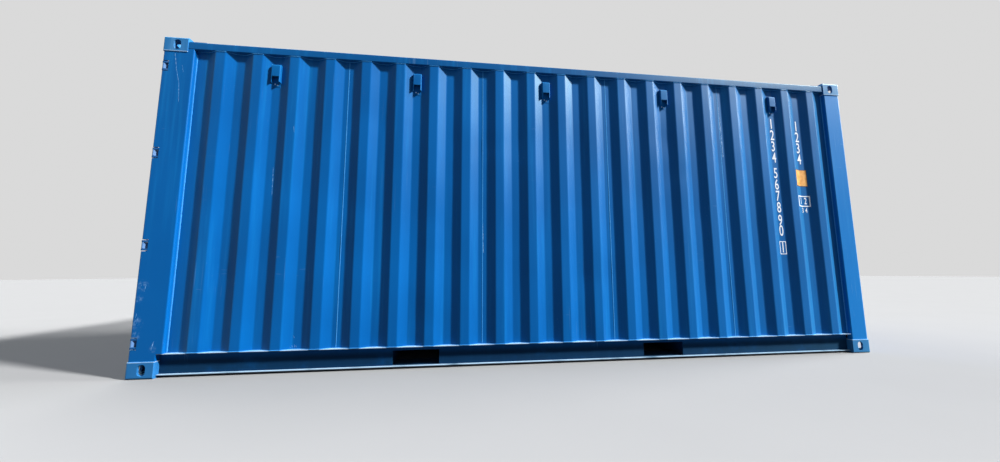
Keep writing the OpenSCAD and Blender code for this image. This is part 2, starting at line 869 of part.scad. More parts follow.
module door_panel(side) {
    middle = (window_y0 + window_y1) / 2;
    bands = [for (j = [0 : panel_bands - 1])
        let (z = window_z1 - (j + 0.5) * band_pitch + band_h / 2 + band_slope)
        each [[panel_face, z], [panel_face + panel_depth, z - band_slope],
              [panel_face + panel_depth, z - band_slope - band_h],
              [panel_face, z - 2 * band_slope - band_h]]];
    color(paint) from_corner("rear", side) translate([0, middle, 0])
        along_y(window_y1 - window_y0)
            pressed(concat([[panel_face, window_z1]], bands, [[panel_face, window_z0]]), panel_t);
}

module leaf_ring(grow, shrink, x0, t) {
    difference() {
        translate([x0, leaf_y0 - grow, leaf_z0 - grow])
            cube([t, leaf_y1 - leaf_y0 + 2 * grow, leaf_z1 - leaf_z0 + 2 * grow]);
        translate([x0 - cut, leaf_y0 + shrink, leaf_z0 + shrink])
            cube([t + 2 * cut, leaf_y1 - leaf_y0 - 2 * shrink, leaf_z1 - leaf_z0 - 2 * shrink]);
    }
}

module door_gasket(side) {
    color(rubber) from_corner("rear", side) {
        leaf_ring(gasket_lip, 0, door_face + door_t / 2, door_t / 2);
        leaf_ring(gasket_lip, gasket_w, door_face + door_t, gasket_t);
    }
}

// Knuckle, an arm that leaves it at 45 degrees, a bend round the post and a flat end on the door
module hinge_blade() {
    touch = knuckle_r * sqrt(0.5);
    outer = hinge_x + hinge_y;
    near = hinge_y + touch + outer - (hinge_x - touch);
    inner = hinge_y - touch + outer + blade_t - (hinge_x + touch);
    seat = door_face - blade_t;
    blade_y0 = leaf_y0 + blade_inset;
    arm = [[hinge_x - touch, hinge_y + touch], [outer, near], [outer + blade_t, near],
           [outer + blade_t, inner], [hinge_x + touch, hinge_y - touch]];
    crank = [[seat, blade_y0 + blade_l], [seat, blade_y0], [outer, leaf_y0 - crank_lead],
             [outer, near]];
    difference() {
        union() {
            translate([hinge_x, hinge_y, -knuckle_h / 2])
                cylinder(r = knuckle_r, h = knuckle_h, $fn = round_fn);
            translate([0, 0, -knuckle_h / 2]) linear_extrude(knuckle_h) polygon(arm);
            translate([0, 0, -knuckle_h / 2]) linear_extrude(knuckle_h) pressed(crank, blade_t);
            translate([seat, blade_y0, -blade_h / 2]) cube([blade_t, blade_l, blade_h]);
        }
        translate([hinge_x, hinge_y, -knuckle_h / 2 - cut])
            cylinder(r = pin_r + pin_clear, h = knuckle_h + 2 * cut, $fn = round_fn);
    }
}

module door_hinges(side) {
    color(steel) from_corner("rear", side)
        for (z = hinge_heights) translate([0, 0, z]) hinge_blade();
}

// Outline of a cam: a hub with a round-ended arm to each side
module cam_shape() {
    circle(rod_r + cam_rim, $fn = round_fn);
    rotate(90) slot(2 * cam_half, cam_l);
}

// Hollow rod with a cam at each end, a collar and a handle that points along y by dir
module lock_rod(y, grip_z, dir) {
    rod_h = height - 2 * rod_end;
    translate([rod_x, y, rod_end]) difference() {
        union() {
            cylinder(r = rod_r, h = rod_h, $fn = round_fn);
            for (z = [0, rod_h - cam_t]) translate([0, 0, z]) linear_extrude(cam_t) cam_shape();
            translate([0, 0, grip_z - rod_end - collar_h / 2])
                cylinder(r = collar_r, h = collar_h, $fn = round_fn);
            translate([-handle_t / 2, dir > 0 ? 0 : -handle_l, grip_z - rod_end - handle_h / 2])
                cube([handle_t, handle_l, handle_h]);
        }
        translate([0, 0, cam_t]) cylinder(r = rod_r - rod_wall, h = rod_h - 2 * cam_t, $fn = round_fn);
    }
}

module lock_rods(side) {
    color(steel) from_corner("rear", side) {
        lock_rod(rod_places[0], handle_heights[0], 1);
        lock_rod(rod_places[1], handle_heights[1], -1);
    }
}

// Strap round the rod on a foot that stands the given distance behind the rod's centre
module rod_bracket(reach) {
    outer_r = rod_r + rod_clear + bracket_t;
    translate([0, 0, -bracket_h / 2]) difference() {
        union() {
            cylinder(r = outer_r, h = bracket_h, $fn = round_fn);
            translate([0, -outer_r, 0]) cube([reach, 2 * outer_r, bracket_h]);
            translate([reach - bracket_t, -bracket_w / 2, 0]) cube([bracket_t, bracket_w, bracket_h]);
        }
        translate([0, 0, -cut]) cylinder(r = rod_r + rod_clear, h = bracket_h + 2 * cut, $fn = round_fn);
    }
}

// Hook on the panel that a handle's free end lies in
module handle_catch() {
    front = rod_x - handle_t / 2 - catch_gap - catch_t;
    low = -handle_h / 2 - catch_gap - catch_t;
    section = [[front, low + catch_t + catch_lip], [front, low], [panel_face, low],
               [panel_face, handle_h / 2 + catch_lip]];
    along_y(catch_w) pressed(section, catch_t);
}

module rod_brackets(side) {
    frame_places = [leaf_z0 + cross_rail_h / 2, leaf_z1 - cross_rail_h / 2];
    panel_places = [window_z0 + band_pitch, window_z1 - band_pitch];
    reach = handle_l - catch_inset;
    color(steel) from_corner("rear", side) {
        for (y = rod_places) {
            for (z = frame_places) translate([rod_x, y, z]) rod_bracket(door_face - rod_x);
            for (z = panel_places) translate([rod_x, y, z]) rod_bracket(panel_face - rod_x);
        }
        translate([0, rod_places[0] + reach, handle_heights[0]]) handle_catch();
        translate([0, rod_places[1] - reach, handle_heights[1]]) handle_catch();
    }
}

for (end = ["rear", "front"], side = ["right", "left"], level = ["bottom", "top"])
    casting(end, side, level);
rear_post_plates();
rear_post_channels();
front_posts();
door_header();
door_sill();
threshold_plate();
front_top_rail();
front_sill();
top_side_rails();
bottom_side_rail("right");  // bottom_side_rail_right
bottom_side_rail("left");  // bottom_side_rail_left
side_wall("right");  // side_wall_right
side_wall("left");  // side_wall_left
front_wall();
roof_panel();
roof_end_plates();
floor_boards();
floor_centre_rail();
cross_members();
fork_pocket_plates();
vent_covers();
lashing_rings();
hinge_lugs();
cam_keepers();
door_frame("right");  // door_frame_right
door_panel("right");  // door_panel_right
door_gasket("right");  // door_gasket_right
door_hinges("right");  // door_hinges_right
lock_rods("right");  // lock_rods_right
rod_brackets("right");  // rod_brackets_right
door_frame("left");  // door_frame_left
door_panel("left");  // door_panel_left
door_gasket("left");  // door_gasket_left
door_hinges("left");  // door_hinges_left
lock_rods("left");  // lock_rods_left
rod_brackets("left");  // rod_brackets_left
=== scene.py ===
# Shipping container: how each of its pieces looks, in the order in which they are put together.
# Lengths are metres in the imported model's frame: x runs along the container with the doors at
# low x, y runs across it, and z runs up from the bottom castings' ground faces.
import json
import math

import bmesh
import bpy
import numpy as np
from mathutils import Matrix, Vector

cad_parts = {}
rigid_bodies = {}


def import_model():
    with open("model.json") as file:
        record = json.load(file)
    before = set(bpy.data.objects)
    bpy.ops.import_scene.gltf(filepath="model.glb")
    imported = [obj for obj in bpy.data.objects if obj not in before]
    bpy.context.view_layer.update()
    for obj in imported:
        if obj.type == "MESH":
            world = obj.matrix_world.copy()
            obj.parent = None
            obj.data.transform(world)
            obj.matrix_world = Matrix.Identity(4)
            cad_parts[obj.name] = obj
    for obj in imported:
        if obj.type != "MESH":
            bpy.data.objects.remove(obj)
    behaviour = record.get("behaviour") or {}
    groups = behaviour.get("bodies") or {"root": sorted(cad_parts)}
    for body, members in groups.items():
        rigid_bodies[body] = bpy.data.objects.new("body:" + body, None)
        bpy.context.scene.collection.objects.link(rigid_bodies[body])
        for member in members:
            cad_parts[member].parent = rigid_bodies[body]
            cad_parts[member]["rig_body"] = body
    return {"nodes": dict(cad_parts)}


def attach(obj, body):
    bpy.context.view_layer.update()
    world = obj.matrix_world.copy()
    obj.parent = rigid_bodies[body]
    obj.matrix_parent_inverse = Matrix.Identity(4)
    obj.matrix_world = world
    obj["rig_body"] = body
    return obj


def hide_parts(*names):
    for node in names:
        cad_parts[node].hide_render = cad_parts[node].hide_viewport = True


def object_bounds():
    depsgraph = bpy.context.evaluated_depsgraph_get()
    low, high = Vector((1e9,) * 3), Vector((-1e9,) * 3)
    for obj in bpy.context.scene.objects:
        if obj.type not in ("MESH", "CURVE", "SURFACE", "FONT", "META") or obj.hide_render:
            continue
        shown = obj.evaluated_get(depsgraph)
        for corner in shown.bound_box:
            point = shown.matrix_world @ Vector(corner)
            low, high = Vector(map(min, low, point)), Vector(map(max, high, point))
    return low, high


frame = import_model()
cad_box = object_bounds()
REAR, RIGHT_SIDE, GROUND = cad_box[0]
FRONT, LEFT_SIDE, TOP = cad_box[1]


# The camera
# A phone held low beside the container, near the middle of its long side, with a wide lens. It
# looks a little up and towards the front end.
EYE = (-0.727, -4.032, 0.750)
TURN_TO_FRONT = math.radians(7.07)
TILT_UP = math.radians(6.62)
ROLL = math.radians(-0.19)
SENSOR = 36.0
FOCAL_LENGTH = 0.3448 * SENSOR


def linked(name, data):
    """A new object in the scene, holding a camera, a lamp, a mesh or a curve."""
    thing = bpy.data.objects.new(name, data)
    bpy.context.scene.collection.objects.link(thing)
    return thing


lens = bpy.data.cameras.new("camera")
lens.sensor_width = SENSOR
lens.lens = FOCAL_LENGTH
lens.clip_start = 0.05
lens.clip_end = 300
camera = linked("camera", lens)
camera.matrix_world = (Matrix.Translation(EYE) @ Matrix.Rotation(-TURN_TO_FRONT, 4, "Z")
                       @ Matrix.Rotation(math.pi / 2 + TILT_UP, 4, "X")
                       @ Matrix.Rotation(ROLL, 4, "Z"))
bpy.context.scene.camera = camera
bpy.context.scene.view_settings.view_transform = "Standard"


# The lamps
# A soft edged sun from the front end's side, a broad lamp from that end that only the
# corrugations' slopes catch, and a weak one from behind for the doors and the far side.
def lamp(name, turn, height, strength, spread):
    """A sun lamp from `turn` degrees round, from the photographed side towards the front end, and
    `height` degrees up."""
    light = bpy.data.lights.new(name, "SUN")
    light.energy = strength
    light.angle = math.radians(spread)
    holder = linked(name, light)
    holder.rotation_euler = (math.radians(90 - height), 0, math.radians(turn))


lamp("sun", turn=66.5, height=38.5, strength=8.2, spread=5)
lamp("end_fill", turn=94, height=30, strength=6.0, spread=25)
lamp("back_fill", turn=215, height=35, strength=2.5, spread=60)


# The floor and the air round it
# A plain pale studio floor that keeps the container's shadow. To other surfaces it is as dark as
# tarmac, so that the underside and the rails' webs stay in shade.
FLOOR_R = 60
FLOOR_SHADE = 0.245
FLOOR_BOUNCE = (0.06, 0.06, 0.0636, 1)
AIR_LIGHT = 0.30
AIR_TINT = (0.75, 0.90, 1.08, 1)
BACKDROP = 0.70


class Value:
    """One value in a finish's node tree. Sums, products and powers of values add Math nodes."""

    def __init__(self, finish, socket):
        self.finish = finish
        self.socket = socket

    def maths(self, operation, *terms):
        return self.finish.node("ShaderNodeMath", {"operation": operation}, *terms)

    def __add__(self, other):
        return self.maths("ADD", self, other)

    def __sub__(self, other):
        return self.maths("SUBTRACT", self, other)

    def __rsub__(self, other):
        return self.maths("SUBTRACT", other, self)

    def __mul__(self, other):
        return self.maths("MULTIPLY", self, other)

    def either(self, other):
        """The larger of the two."""
        return self.maths("MAXIMUM", self, other)

    def output(self, name):
        """Another output of the same node."""
        return Value(self.finish, self.socket.node.outputs[name])


class Finish:
    """A node tree under work: of a material, or of the world."""

    def __init__(self, owner):
        owner.use_nodes = True
        self.owner = owner
        self.tree = owner.node_tree
        self.tree.nodes.clear()

    def node(self, kind, settings, *values, **named):
        """Adds a node, its settings first. `values` go to its live inputs in order."""
        node = self.tree.nodes.new(kind)
        for setting, value in settings.items():
            setattr(node, setting, value)
        sockets = [s for s in node.inputs if s.enabled]
        pairs = list(zip(sockets, values)) + [(node.inputs[n.replace("_", " ")], v)
                                              for n, v in named.items()]
        for socket, value in pairs:
            if isinstance(value, Value):
                self.tree.links.new(value.socket, socket)
            elif value is not None:
                socket.default_value = value
        return Value(self, next(s for s in node.outputs if s.enabled)) if node.outputs else None

    def place(self):
        """Where a point lies on the object, in metres."""
        return self.node("ShaderNodeTexCoord", {}).output("Object")

    def noise(self, scale, detail=2.0, roughness=0.5, turned=(0, 0, 0)):
        """Cloudy pattern round 0.5, `scale` lumps to the metre: one number, or one for each
        axis, and then the pattern is `turned` too."""
        where = self.place()
        if isinstance(scale, tuple):
            where = self.node("ShaderNodeMapping", {}, where, (0, 0, 0), turned, scale)
            scale = 1.0
        return self.node("ShaderNodeTexNoise", {}, Vector=where, Scale=scale, Detail=detail,
                         Roughness=roughness)

    def between(self, value, low, high):
        """0 below `low`, 1 above `high`, and a soft step between them."""
        return self.node("ShaderNodeMapRange", {"interpolation_type": "SMOOTHSTEP"},
                         Value=value, From_Min=low, From_Max=high)

    def mixed(self, share, first, second):
        """Colour `first` where share is 0 and `second` where it is 1."""
        return self.node("ShaderNodeMix", {"data_type": "RGBA"}, share, first, second)

    def axis(self, vector, name):
        return self.node("ShaderNodeSeparateXYZ", {}, vector).output(name)

    def bump(self, height, strength, distance, normal=None, **settings):
        """A normal that leans with the slope of a height."""
        return self.node("ShaderNodeBump", settings, Strength=strength, Distance=distance,
                         Height=height, Normal=normal)

    def seen(self):
        """1 to the camera and in metal or glass, and 0 for the light that is sent on."""
        ray = self.node("ShaderNodeLightPath", {})
        return ray.output("Is Camera Ray").either(ray.output("Is Glossy Ray")).either(
            ray.output("Is Transmission Ray"))

    def surface(self, colour, roughness, **named):
        """Ends the tree in a Principled surface and gives its material."""
        shader = self.node("ShaderNodeBsdfPrincipled", {}, Base_Color=colour,
                           Roughness=roughness, **named)
        self.node("ShaderNodeOutputMaterial", {}, shader)
        return self.owner


def new_finish(name):
    return Finish(bpy.data.materials.new(name))


def grey(level):
    return (level, level, level, 1)


def put_in_scene(name, points, faces, sharp=None):
    """A mesh object from arrays: points, and lists of faces with equal corner counts. Unused
    points are dropped, and a closed solid whose faces look inwards is turned round."""
    used, flat = np.unique(np.concatenate([f.ravel() for f in faces]), return_inverse=True)
    points = np.asarray(points, float)[used]
    sizes = np.concatenate([np.full(len(f), f.shape[1]) for f in faces])
    parts = np.split(flat, np.cumsum([f.size for f in faces])[:-1])
    fans = [part.reshape(f.shape) for part, f in zip(parts, faces)]
    volume = sum(np.einsum("ij,ij->", points[f[:, 0]],
                           np.cross(points[f[:, k]], points[f[:, k + 1]]))
                 for f in fans for k in range(1, f.shape[1] - 1))
    if sharp is not None and volume < 0:
        flat = np.concatenate([f[:, ::-1].ravel() for f in fans])
    mesh = bpy.data.meshes.new(name)
    mesh.vertices.add(len(points))
    mesh.vertices.foreach_set("co", points.astype(np.float32).ravel())
    mesh.loops.add(len(flat))
    mesh.loops.foreach_set("vertex_index", flat.astype(np.int32))
    mesh.polygons.add(len(sizes))
    mesh.polygons.foreach_set("loop_start", (np.cumsum(sizes) - sizes).astype(np.int32))
    mesh.update(calc_edges=True)
    mesh.shade_smooth()
    piece = linked(name, mesh)
    if sharp:
        mesh.set_sharp_from_angle(angle=math.radians(sharp))
        level = piece.modifiers.new("level_faces", "WEIGHTED_NORMAL")
        level.keep_sharp = True
    return piece


def ring_faces(index):
    """Faces between neighbouring closed rings, each ring a row of point numbers."""
    near, far = index[:-1], index[1:]
    return np.stack([near, np.roll(near, -1, 1), np.roll(far, -1, 1), far], -1).reshape(-1, 4)


def disc(name, radius, rings, spokes):
    """A flat disc on the ground: point (i, j) is r·(cos a, sin a), with r growing as the cube of
    i's share."""
    r = radius * np.linspace(0.02, 1, rings)[:, None] ** 3
    a = np.linspace(0, 2 * np.pi, spokes, endpoint=False)[None, :]
    points = np.stack([r * np.cos(a), r * np.sin(a), GROUND + 0 * r * a], -1).reshape(-1, 3)
    index = np.arange(rings * spokes).reshape(rings, spokes)
    return put_in_scene(name, points, [ring_faces(index)[:, ::-1], index[:1]])


floor = disc("studio_floor", FLOOR_R, 40, 96)
f = new_finish("studio_floor")
gritty = f.mixed(f.noise(1.5, 3), grey(FLOOR_SHADE), grey(FLOOR_SHADE * 0.96))
f.node("ShaderNodeOutputMaterial", {}, f.node(
    "ShaderNodeBsdfDiffuse", {}, f.mixed(f.seen(), FLOOR_BOUNCE, gritty), 0.0))
floor.data.materials.append(f.owner)

air = Finish(bpy.data.worlds.new("air"))
bpy.context.scene.world = air.owner
shown = air.node("ShaderNodeBackground", {}, grey(BACKDROP), 1.0)
lit = air.node("ShaderNodeBackground", {}, AIR_TINT, AIR_LIGHT)
air.node("ShaderNodeOutputWorld", {}, air.node("ShaderNodeMixShader", {}, air.seen(), lit, shown))


# Corner castings
# Eight hollow steel castings with an oval hole on each outer face, painted with the frame. The
# lower ones rub on other castings and lose paint along their edges. The pale line along each
# one's edge next to its post is partly rubbed paint and partly a painted highlight.
def shade(red, green, blue):
    """A colour as it shows on a screen, from 0 to 255 each, as the linear one that nodes take."""
    part = np.array([red, green, blue]) / 255
    linear = np.where(part <= 0.04045, part / 12.92, ((part + 0.055) / 1.055) ** 2.4)
    return (*linear.tolist(), 1.0)


PAINT = shade(0, 91, 162)
PAINT_FADED = shade(14, 112, 180)
PAINT_DEEP = shade(0, 81, 148)
SCUFF = shade(125, 165, 205)
RUBBED_EDGE_AND_HIGHLIGHT = shade(172, 194, 216)
DUST = shade(58, 112, 162)
DIRT_AND_SHADE = shade(6, 22, 40)
RUST = shade(96, 52, 30)
PRIMER = shade(120, 122, 128)
# The next two tints turn the paint's reflections greenish and its sheen at a slant cyan: a
# painted reflection of a bluish surround.
SHEEN_TINT = (0.6, 1.0, 0.55, 1.0)
REFLECTED_SHEEN_TINT = (0.16, 0.76, 0.96, 1.0)


def painted(name, base=PAINT, faded=PAINT_FADED, deep=PAINT_DEEP, wear=0.3, chips=0.15,
            dust=0.3, roughness=0.46, peel=1.0, dirt_and_shade_below=None, rims=(), worn_at=(), settled=DUST,
            reflected_sheen=0.6, gloss=0.12):
    """Blue paint over steel: broad fading, rain streaks, scuffs, chips down to rust, dust that
    lies on level faces, and the fine orange-peel surface of sprayed paint. `dirt_and_shade_below`
    is a pair of heights between which a darkening thins out upwards, partly road dirt and partly
    painted shade; `rims` are heights of pale lines along edges, partly rubbed paint and partly a
    painted highlight; and `worn_at` holds places and reaches of softer scuffing.
    `reflected_sheen` is the weight of a cyan sheen that shows at a slant, a painted reflection,
    and `gloss` how strongly the paint mirrors."""
    f = new_finish(name)
    place = f.place()
    fading = f.noise(0.9, 3)
    streaks = f.noise((16, 16, 0.7), 4, 0.6)
    colour = f.mixed(f.between(fading, 0.3, 0.75), deep, base)
    colour = f.mixed(f.between(streaks, 0.5, 0.8) * 0.5, colour, faded)
    lines = f.noise((150, 150, 2.2), 2)
    slants = f.noise((8, 260, 60), 2, turned=(0.5, 0.9, 0.4))
    patches = f.between(f.noise(2.3, 2), 0.5, 0.72)
    rubbed = f.between(lines, 0.66, 0.74).either(f.between(slants, 0.69, 0.76)) * patches * wear
    colour = f.mixed(rubbed, colour, SCUFF)
    grain = f.noise(55, 4, 0.65)
    for spot, reach in worn_at:
        away = f.node("ShaderNodeVectorMath", {"operation": "DISTANCE"}, place, spot)
        scuffed = (1 - f.between(away, 0.2 * reach, reach)) * f.between(grain, 0.44, 0.62)
        colour = f.mixed(scuffed * 0.32, colour, SCUFF)
    chipped = f.between(grain, 0.73 - 0.06 * chips, 0.75) * f.between(
        f.noise(3.1, 2), 0.48, 0.66) * min(1, chips * 4)
    colour = f.mixed(chipped, colour, f.mixed(f.between(grain, 0.74, 0.78), PRIMER, RUST))
    level = f.axis(f.node("ShaderNodeNewGeometry", {}).output("Normal"), "Z")
    dusty = f.between(level, 0.6, 0.95) * f.between(f.noise(7, 4), 0.25, 0.7) * dust
    colour = f.mixed(dusty, colour, settled)
    rough = rubbed * 0.2 + chipped * 0.4 + dusty * 0.4 + fading * 0.12 + (roughness - 0.06)
    # Darker low down: partly road dirt, partly painted shade in recesses under the parts above.
    if dirt_and_shade_below:
        darkened = (1 - f.between(f.axis(place, "Z"), *dirt_and_shade_below)) * f.between(
            f.noise(5, 5, 0.6), -0.1, 0.5)
        colour = f.mixed(darkened * 0.8, colour, DIRT_AND_SHADE)
        rough = rough + darkened * 0.3
    # Pale lines at the rim heights: partly rubbed paint, partly a painted highlight of edges.
    for rim in rims:
        away = f.axis(place, "Z") - rim
        bright = (1 - f.between(away * away, 0.0000055, 0.000008)) * f.between(
            f.noise(4, 4), 0.2, 0.5)
        colour = f.mixed(bright * 0.75, colour, RUBBED_EDGE_AND_HIGHLIGHT)
    bump = f.bump(f.noise(4.5, 1), 0.25, 0.004 * peel)
    bump = f.bump(f.noise(420, 1), 0.12, 0.0004, bump)
    bump = f.bump(chipped, 0.5, 0.0006, bump, invert=True)
    # The sheen's cyan tint is a painted reflection, seen at a slant.
    return f.surface(colour, rough, Normal=bump, Specular_IOR_Level=gloss,
                     Specular_Tint=SHEEN_TINT, Sheen_Weight=reflected_sheen, Sheen_Roughness=0.35,
                     Sheen_Tint=REFLECTED_SHEEN_TINT)


def finished(piece, material, body, slot, *nodes):
    """Gives a piece its material and its body, and hides the nodes that it stands for. `slot`,
    the record's slot that it takes its finish from, is not used."""
    piece.data.materials.clear()
    piece.data.materials.append(material)
    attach(piece, body)
    if nodes:
        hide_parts(*nodes)


def merged(mesh, apart, flat=0):
    """Merges a mesh's points that lie closer than `apart`, and its faces where they turn by less
    than `flat` degrees."""
    work = bmesh.new()
    work.from_mesh(mesh)
    bmesh.ops.remove_doubles(work, verts=work.verts, dist=apart)
    if flat:
        bmesh.ops.dissolve_limit(work, angle_limit=math.radians(flat), verts=work.verts,
                                 edges=work.edges)
    work.to_mesh(mesh)
    work.free()


def eased(node, width, material, slot, angle=30, segments=2):
    """A copy of a CAD node, its loose triangles merged into flat faces, with its edges eased by
    a narrow bevel. It replaces the node and rides on its body."""
    source = frame["nodes"][node]
    piece = linked(node + "_eased", source.data.copy())
    merged(piece.data, 0.00002, 0.5)
    piece.data.shade_smooth()
    piece.data.set_sharp_from_angle(angle=math.radians(angle))
    bevel = piece.modifiers.new("eased_edges", "BEVEL")
    bevel.width = width
    bevel.segments = segments
    bevel.limit_method = "ANGLE"
    bevel.angle_limit = math.radians(angle)
    bevel.harden_normals = True
    finished(piece, material, source["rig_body"], slot, node)


SIDES = {"right": -1, "left": 1}
CASTING_L = 0.178
CASTING_W = 0.162
CASTING_H = 0.118
POST_Z0 = GROUND + CASTING_H
POST_Z1 = TOP - CASTING_H
casting_paint = painted("casting_paint", base=shade(56, 118, 170), deep=shade(34, 100, 158),
                        faded=shade(96, 148, 194), wear=1.2, chips=0.5, dust=0.5, peel=2.0,
                        rims=(POST_Z0 - 0.0015, POST_Z1 + 0.0015))
for end in ("rear", "front"):
    for side in SIDES:
        for level in ("bottom", "top"):
            eased(f"casting_{end}_{side}_{level}", 0.007, casting_paint, "frame_paint",
                  segments=3)


# Rear corner posts
# A pressed outer plate 6 mm thick with its corner rolled round, notched for the hinges, and a
# rolled channel welded inside it.
FRAME_SET = 0.005
PLATE_T = 0.006
REAR_POST_L = 0.225
REAR_POST_W = 0.049
RAIL_TOP = 0.170
TOP_RAIL_Z0 = 2.499
WALL_INNER = 0.042
NOTCH_DEPTH = 0.052
NOTCH_HALF = 0.044
HINGE_Z = np.linspace(0.244, TOP - 0.241, 4)


def bent_line(corners, radius, steps=4):
    """A line folded at its corners, as points and the unit normals on its left. At a corner an
    arc starts radius·tan(turn/2) before it and turns evenly: centre + radius·(sin h, -cos h),
    with the heading h."""
    corners = np.asarray(corners, float)
    runs = np.diff(corners, axis=0)
    heading = np.unwrap(np.arctan2(runs[:, 1], runs[:, 0]))
    turn = np.diff(heading)[:, None]
    radius = np.broadcast_to(radius, len(turn))[:, None]
    along = np.stack([np.cos(heading), np.sin(heading)], -1)[:-1]
    start = corners[1:-1] - along * radius * np.tan(np.abs(turn) / 2)
    side = np.sign(turn) * radius
    centre = start + side * np.stack([-along[:, 1], along[:, 0]], -1)
    angle = heading[:-1, None] + turn * np.linspace(0, 1, steps + 1)
    arcs = centre[:, None] + side[..., None] * np.stack([np.sin(angle), -np.cos(angle)], -1)
    points = np.concatenate([corners[:1], arcs.reshape(-1, 2), corners[-1:]])
    angles = np.concatenate([heading[:1], angle.ravel(), heading[-1:]])
    kept = np.append(True, np.linalg.norm(np.diff(points, axis=0), axis=1) > 1e-7)
    return points[kept], np.stack([-np.sin(angles), np.cos(angles)], -1)[kept]


def two_skins(outer, inner, kept=None, wraps=False):
    """The faces of a plate between two skins, each a grid of points. Each kept cell has a face
    on both skins, and where it meets a missing cell or the grid's edge, a narrow face joins
    them. `wraps` joins the last column to the first."""
    rows, columns = outer.shape[:2]
    index = np.arange(rows * columns).reshape(rows, columns)
    if wraps:
        index = np.concatenate([index, index[:, :1]], axis=1)
    if kept is None:
        kept = np.ones((rows - 1, index.shape[1] - 1), bool)
    a, b, c, d = index[:-1, :-1], index[:-1, 1:], index[1:, 1:], index[1:, :-1]
    shift = rows * columns
    around = np.pad(kept, 1)
    if wraps:
        around[:, 0] = around[:, -2]
        around[:, -1] = around[:, 1]
    faces = [np.stack((a, b, c, d), -1)[kept], np.stack((d, c, b, a), -1)[kept] + shift]
    for (s, t), beside in (((a, b), around[:-2, 1:-1]), ((b, c), around[1:-1, 2:]),
                           ((c, d), around[2:, 1:-1]), ((d, a), around[1:-1, :-2])):
        faces.append(np.stack([t, s, s + shift, t + shift], -1)[kept & ~beside])
    points = np.concatenate([outer.reshape(-1, 3), inner.reshape(-1, 3)])
    return points, [f for f in faces if len(f)]


def middles(values):
    return (values[1:] + values[:-1]) / 2


def pressed(name, corners, thickness, radius, stations, put, kept=None, sink=None, wraps=False,
            steps=4):
    """A sheet bent along a section and carried along its stations: skin point (i, j) is
    put(section point j, station i), and the other skin lies the thickness to the section's left.
    `kept` says from the cells' middles which are steel, and `sink` moves both skins left."""
    section, normal = bent_line(corners, radius, steps)
    if wraps:
        section, normal = section[:-1], normal[:-1]
    s = np.asarray(stations, float)[:, None]
    depth = sink(section[None, :, 0], section[None, :, 1], s)[..., None] if sink else 0
    near = section[None] + normal[None] * depth + 0 * s[..., None]
    far = near + normal[None] * thickness
    outer, inner = (put(g[..., 0], g[..., 1], s + 0 * g[..., 0]) for g in (near, far))
    mask = None
    if kept:
        centre = middles(section)
        mask = kept(centre[None, :, 0], centre[None, :, 1], middles(s)) & np.ones(
            (len(s) - 1, len(centre)), bool)
    return put_in_scene(name, *two_skins(outer, inner, mask, wraps), 35)


def joined(pieces, name):
    """Several mesh objects as one."""
    with bpy.context.temp_override(active_object=pieces[0], object=pieces[0],
                                   selected_editable_objects=pieces, selected_objects=pieces):
        bpy.ops.object.join()
    pieces[0].name = name
    pieces[0].data.name = name
    return pieces[0]


def in_from(side, b):
    """The y of a place b metres in from a side."""
    return SIDES[side] * (LEFT_SIDE - b)


def from_corner(end, side):
    """A place in a corner: metres in from the end, metres in from the side, and height."""
    def put(a, b, z):
        x = REAR + a if end == "rear" else FRONT - a
        return np.stack(np.broadcast_arrays(x, in_from(side, b), z), -1)
    return put


def rear_post_kept(a, b, z):
    notched = (np.abs(z[..., None] - HINGE_Z) < NOTCH_HALF).any(-1) & (a < NOTCH_DEPTH)
    return ~(notched | ((z < RAIL_TOP) & (a > CASTING_L)) | ((z > POST_Z1) & (a < CASTING_L)))


post_scuffs = [((x, RIGHT_SIDE + FRAME_SET, z), reach) for x, z, reach in
               ((-2.985, 0.655, 0.055), (-2.998, 0.560, 0.04), (-3.000, 0.390, 0.06),
                (-2.872, 0.204, 0.03), (-2.990, 0.30, 0.04))]
frame_paint = painted("frame_paint", wear=0.6, chips=0.12, dust=0.5, worn_at=post_scuffs)
rear_section = [(FRAME_SET, REAR_POST_W), (FRAME_SET, FRAME_SET), (NOTCH_DEPTH, FRAME_SET),
                (CASTING_L, FRAME_SET), (REAR_POST_L, FRAME_SET), (REAR_POST_L, WALL_INNER)]
rear_stations = np.unique(np.concatenate([
    [POST_Z0, RAIL_TOP, POST_Z1, TOP_RAIL_Z0], HINGE_Z - NOTCH_HALF, HINGE_Z + NOTCH_HALF,
    np.arange(0.3, 2.4, 0.15)]))
posts = [pressed("rear_post", rear_section, PLATE_T, (0.012, 0, 0, 0.010), rear_stations,
                 from_corner("rear", side), rear_post_kept, steps=6) for side in SIDES]
finished(joined(posts, "rear_posts"), frame_paint, "shell", "frame_paint", "rear_post_plates")
eased("rear_post_channels", 0.003, frame_paint, "frame_paint")

# Closing plates at the posts' feet, between the casting's top and the side rail's top flange
FOOT_A = CASTING_L - 0.004
feet = [pressed("post_foot", [(FOOT_A, FRAME_SET + PLATE_T), (FOOT_A, 0.056)], 0.004, 0,
                (POST_Z0, RAIL_TOP - 0.005), from_corner("rear", side)) for side in SIDES]
finished(joined(feet, "post_feet"), frame_paint, "shell", "frame_paint")


# Front corner posts
# One pressed plate 6 mm thick each, folded three times round the corner, with its edges welded
# to both walls and its ends to the castings.
FRONT_POST_L = 0.172
FRONT_POST_W = 0.150
front_section = [(0.0506, FRONT_POST_W), (FRAME_SET, FRONT_POST_W), (FRAME_SET, FRAME_SET),
                 (FRONT_POST_L, FRAME_SET), (FRONT_POST_L, WALL_INNER)]
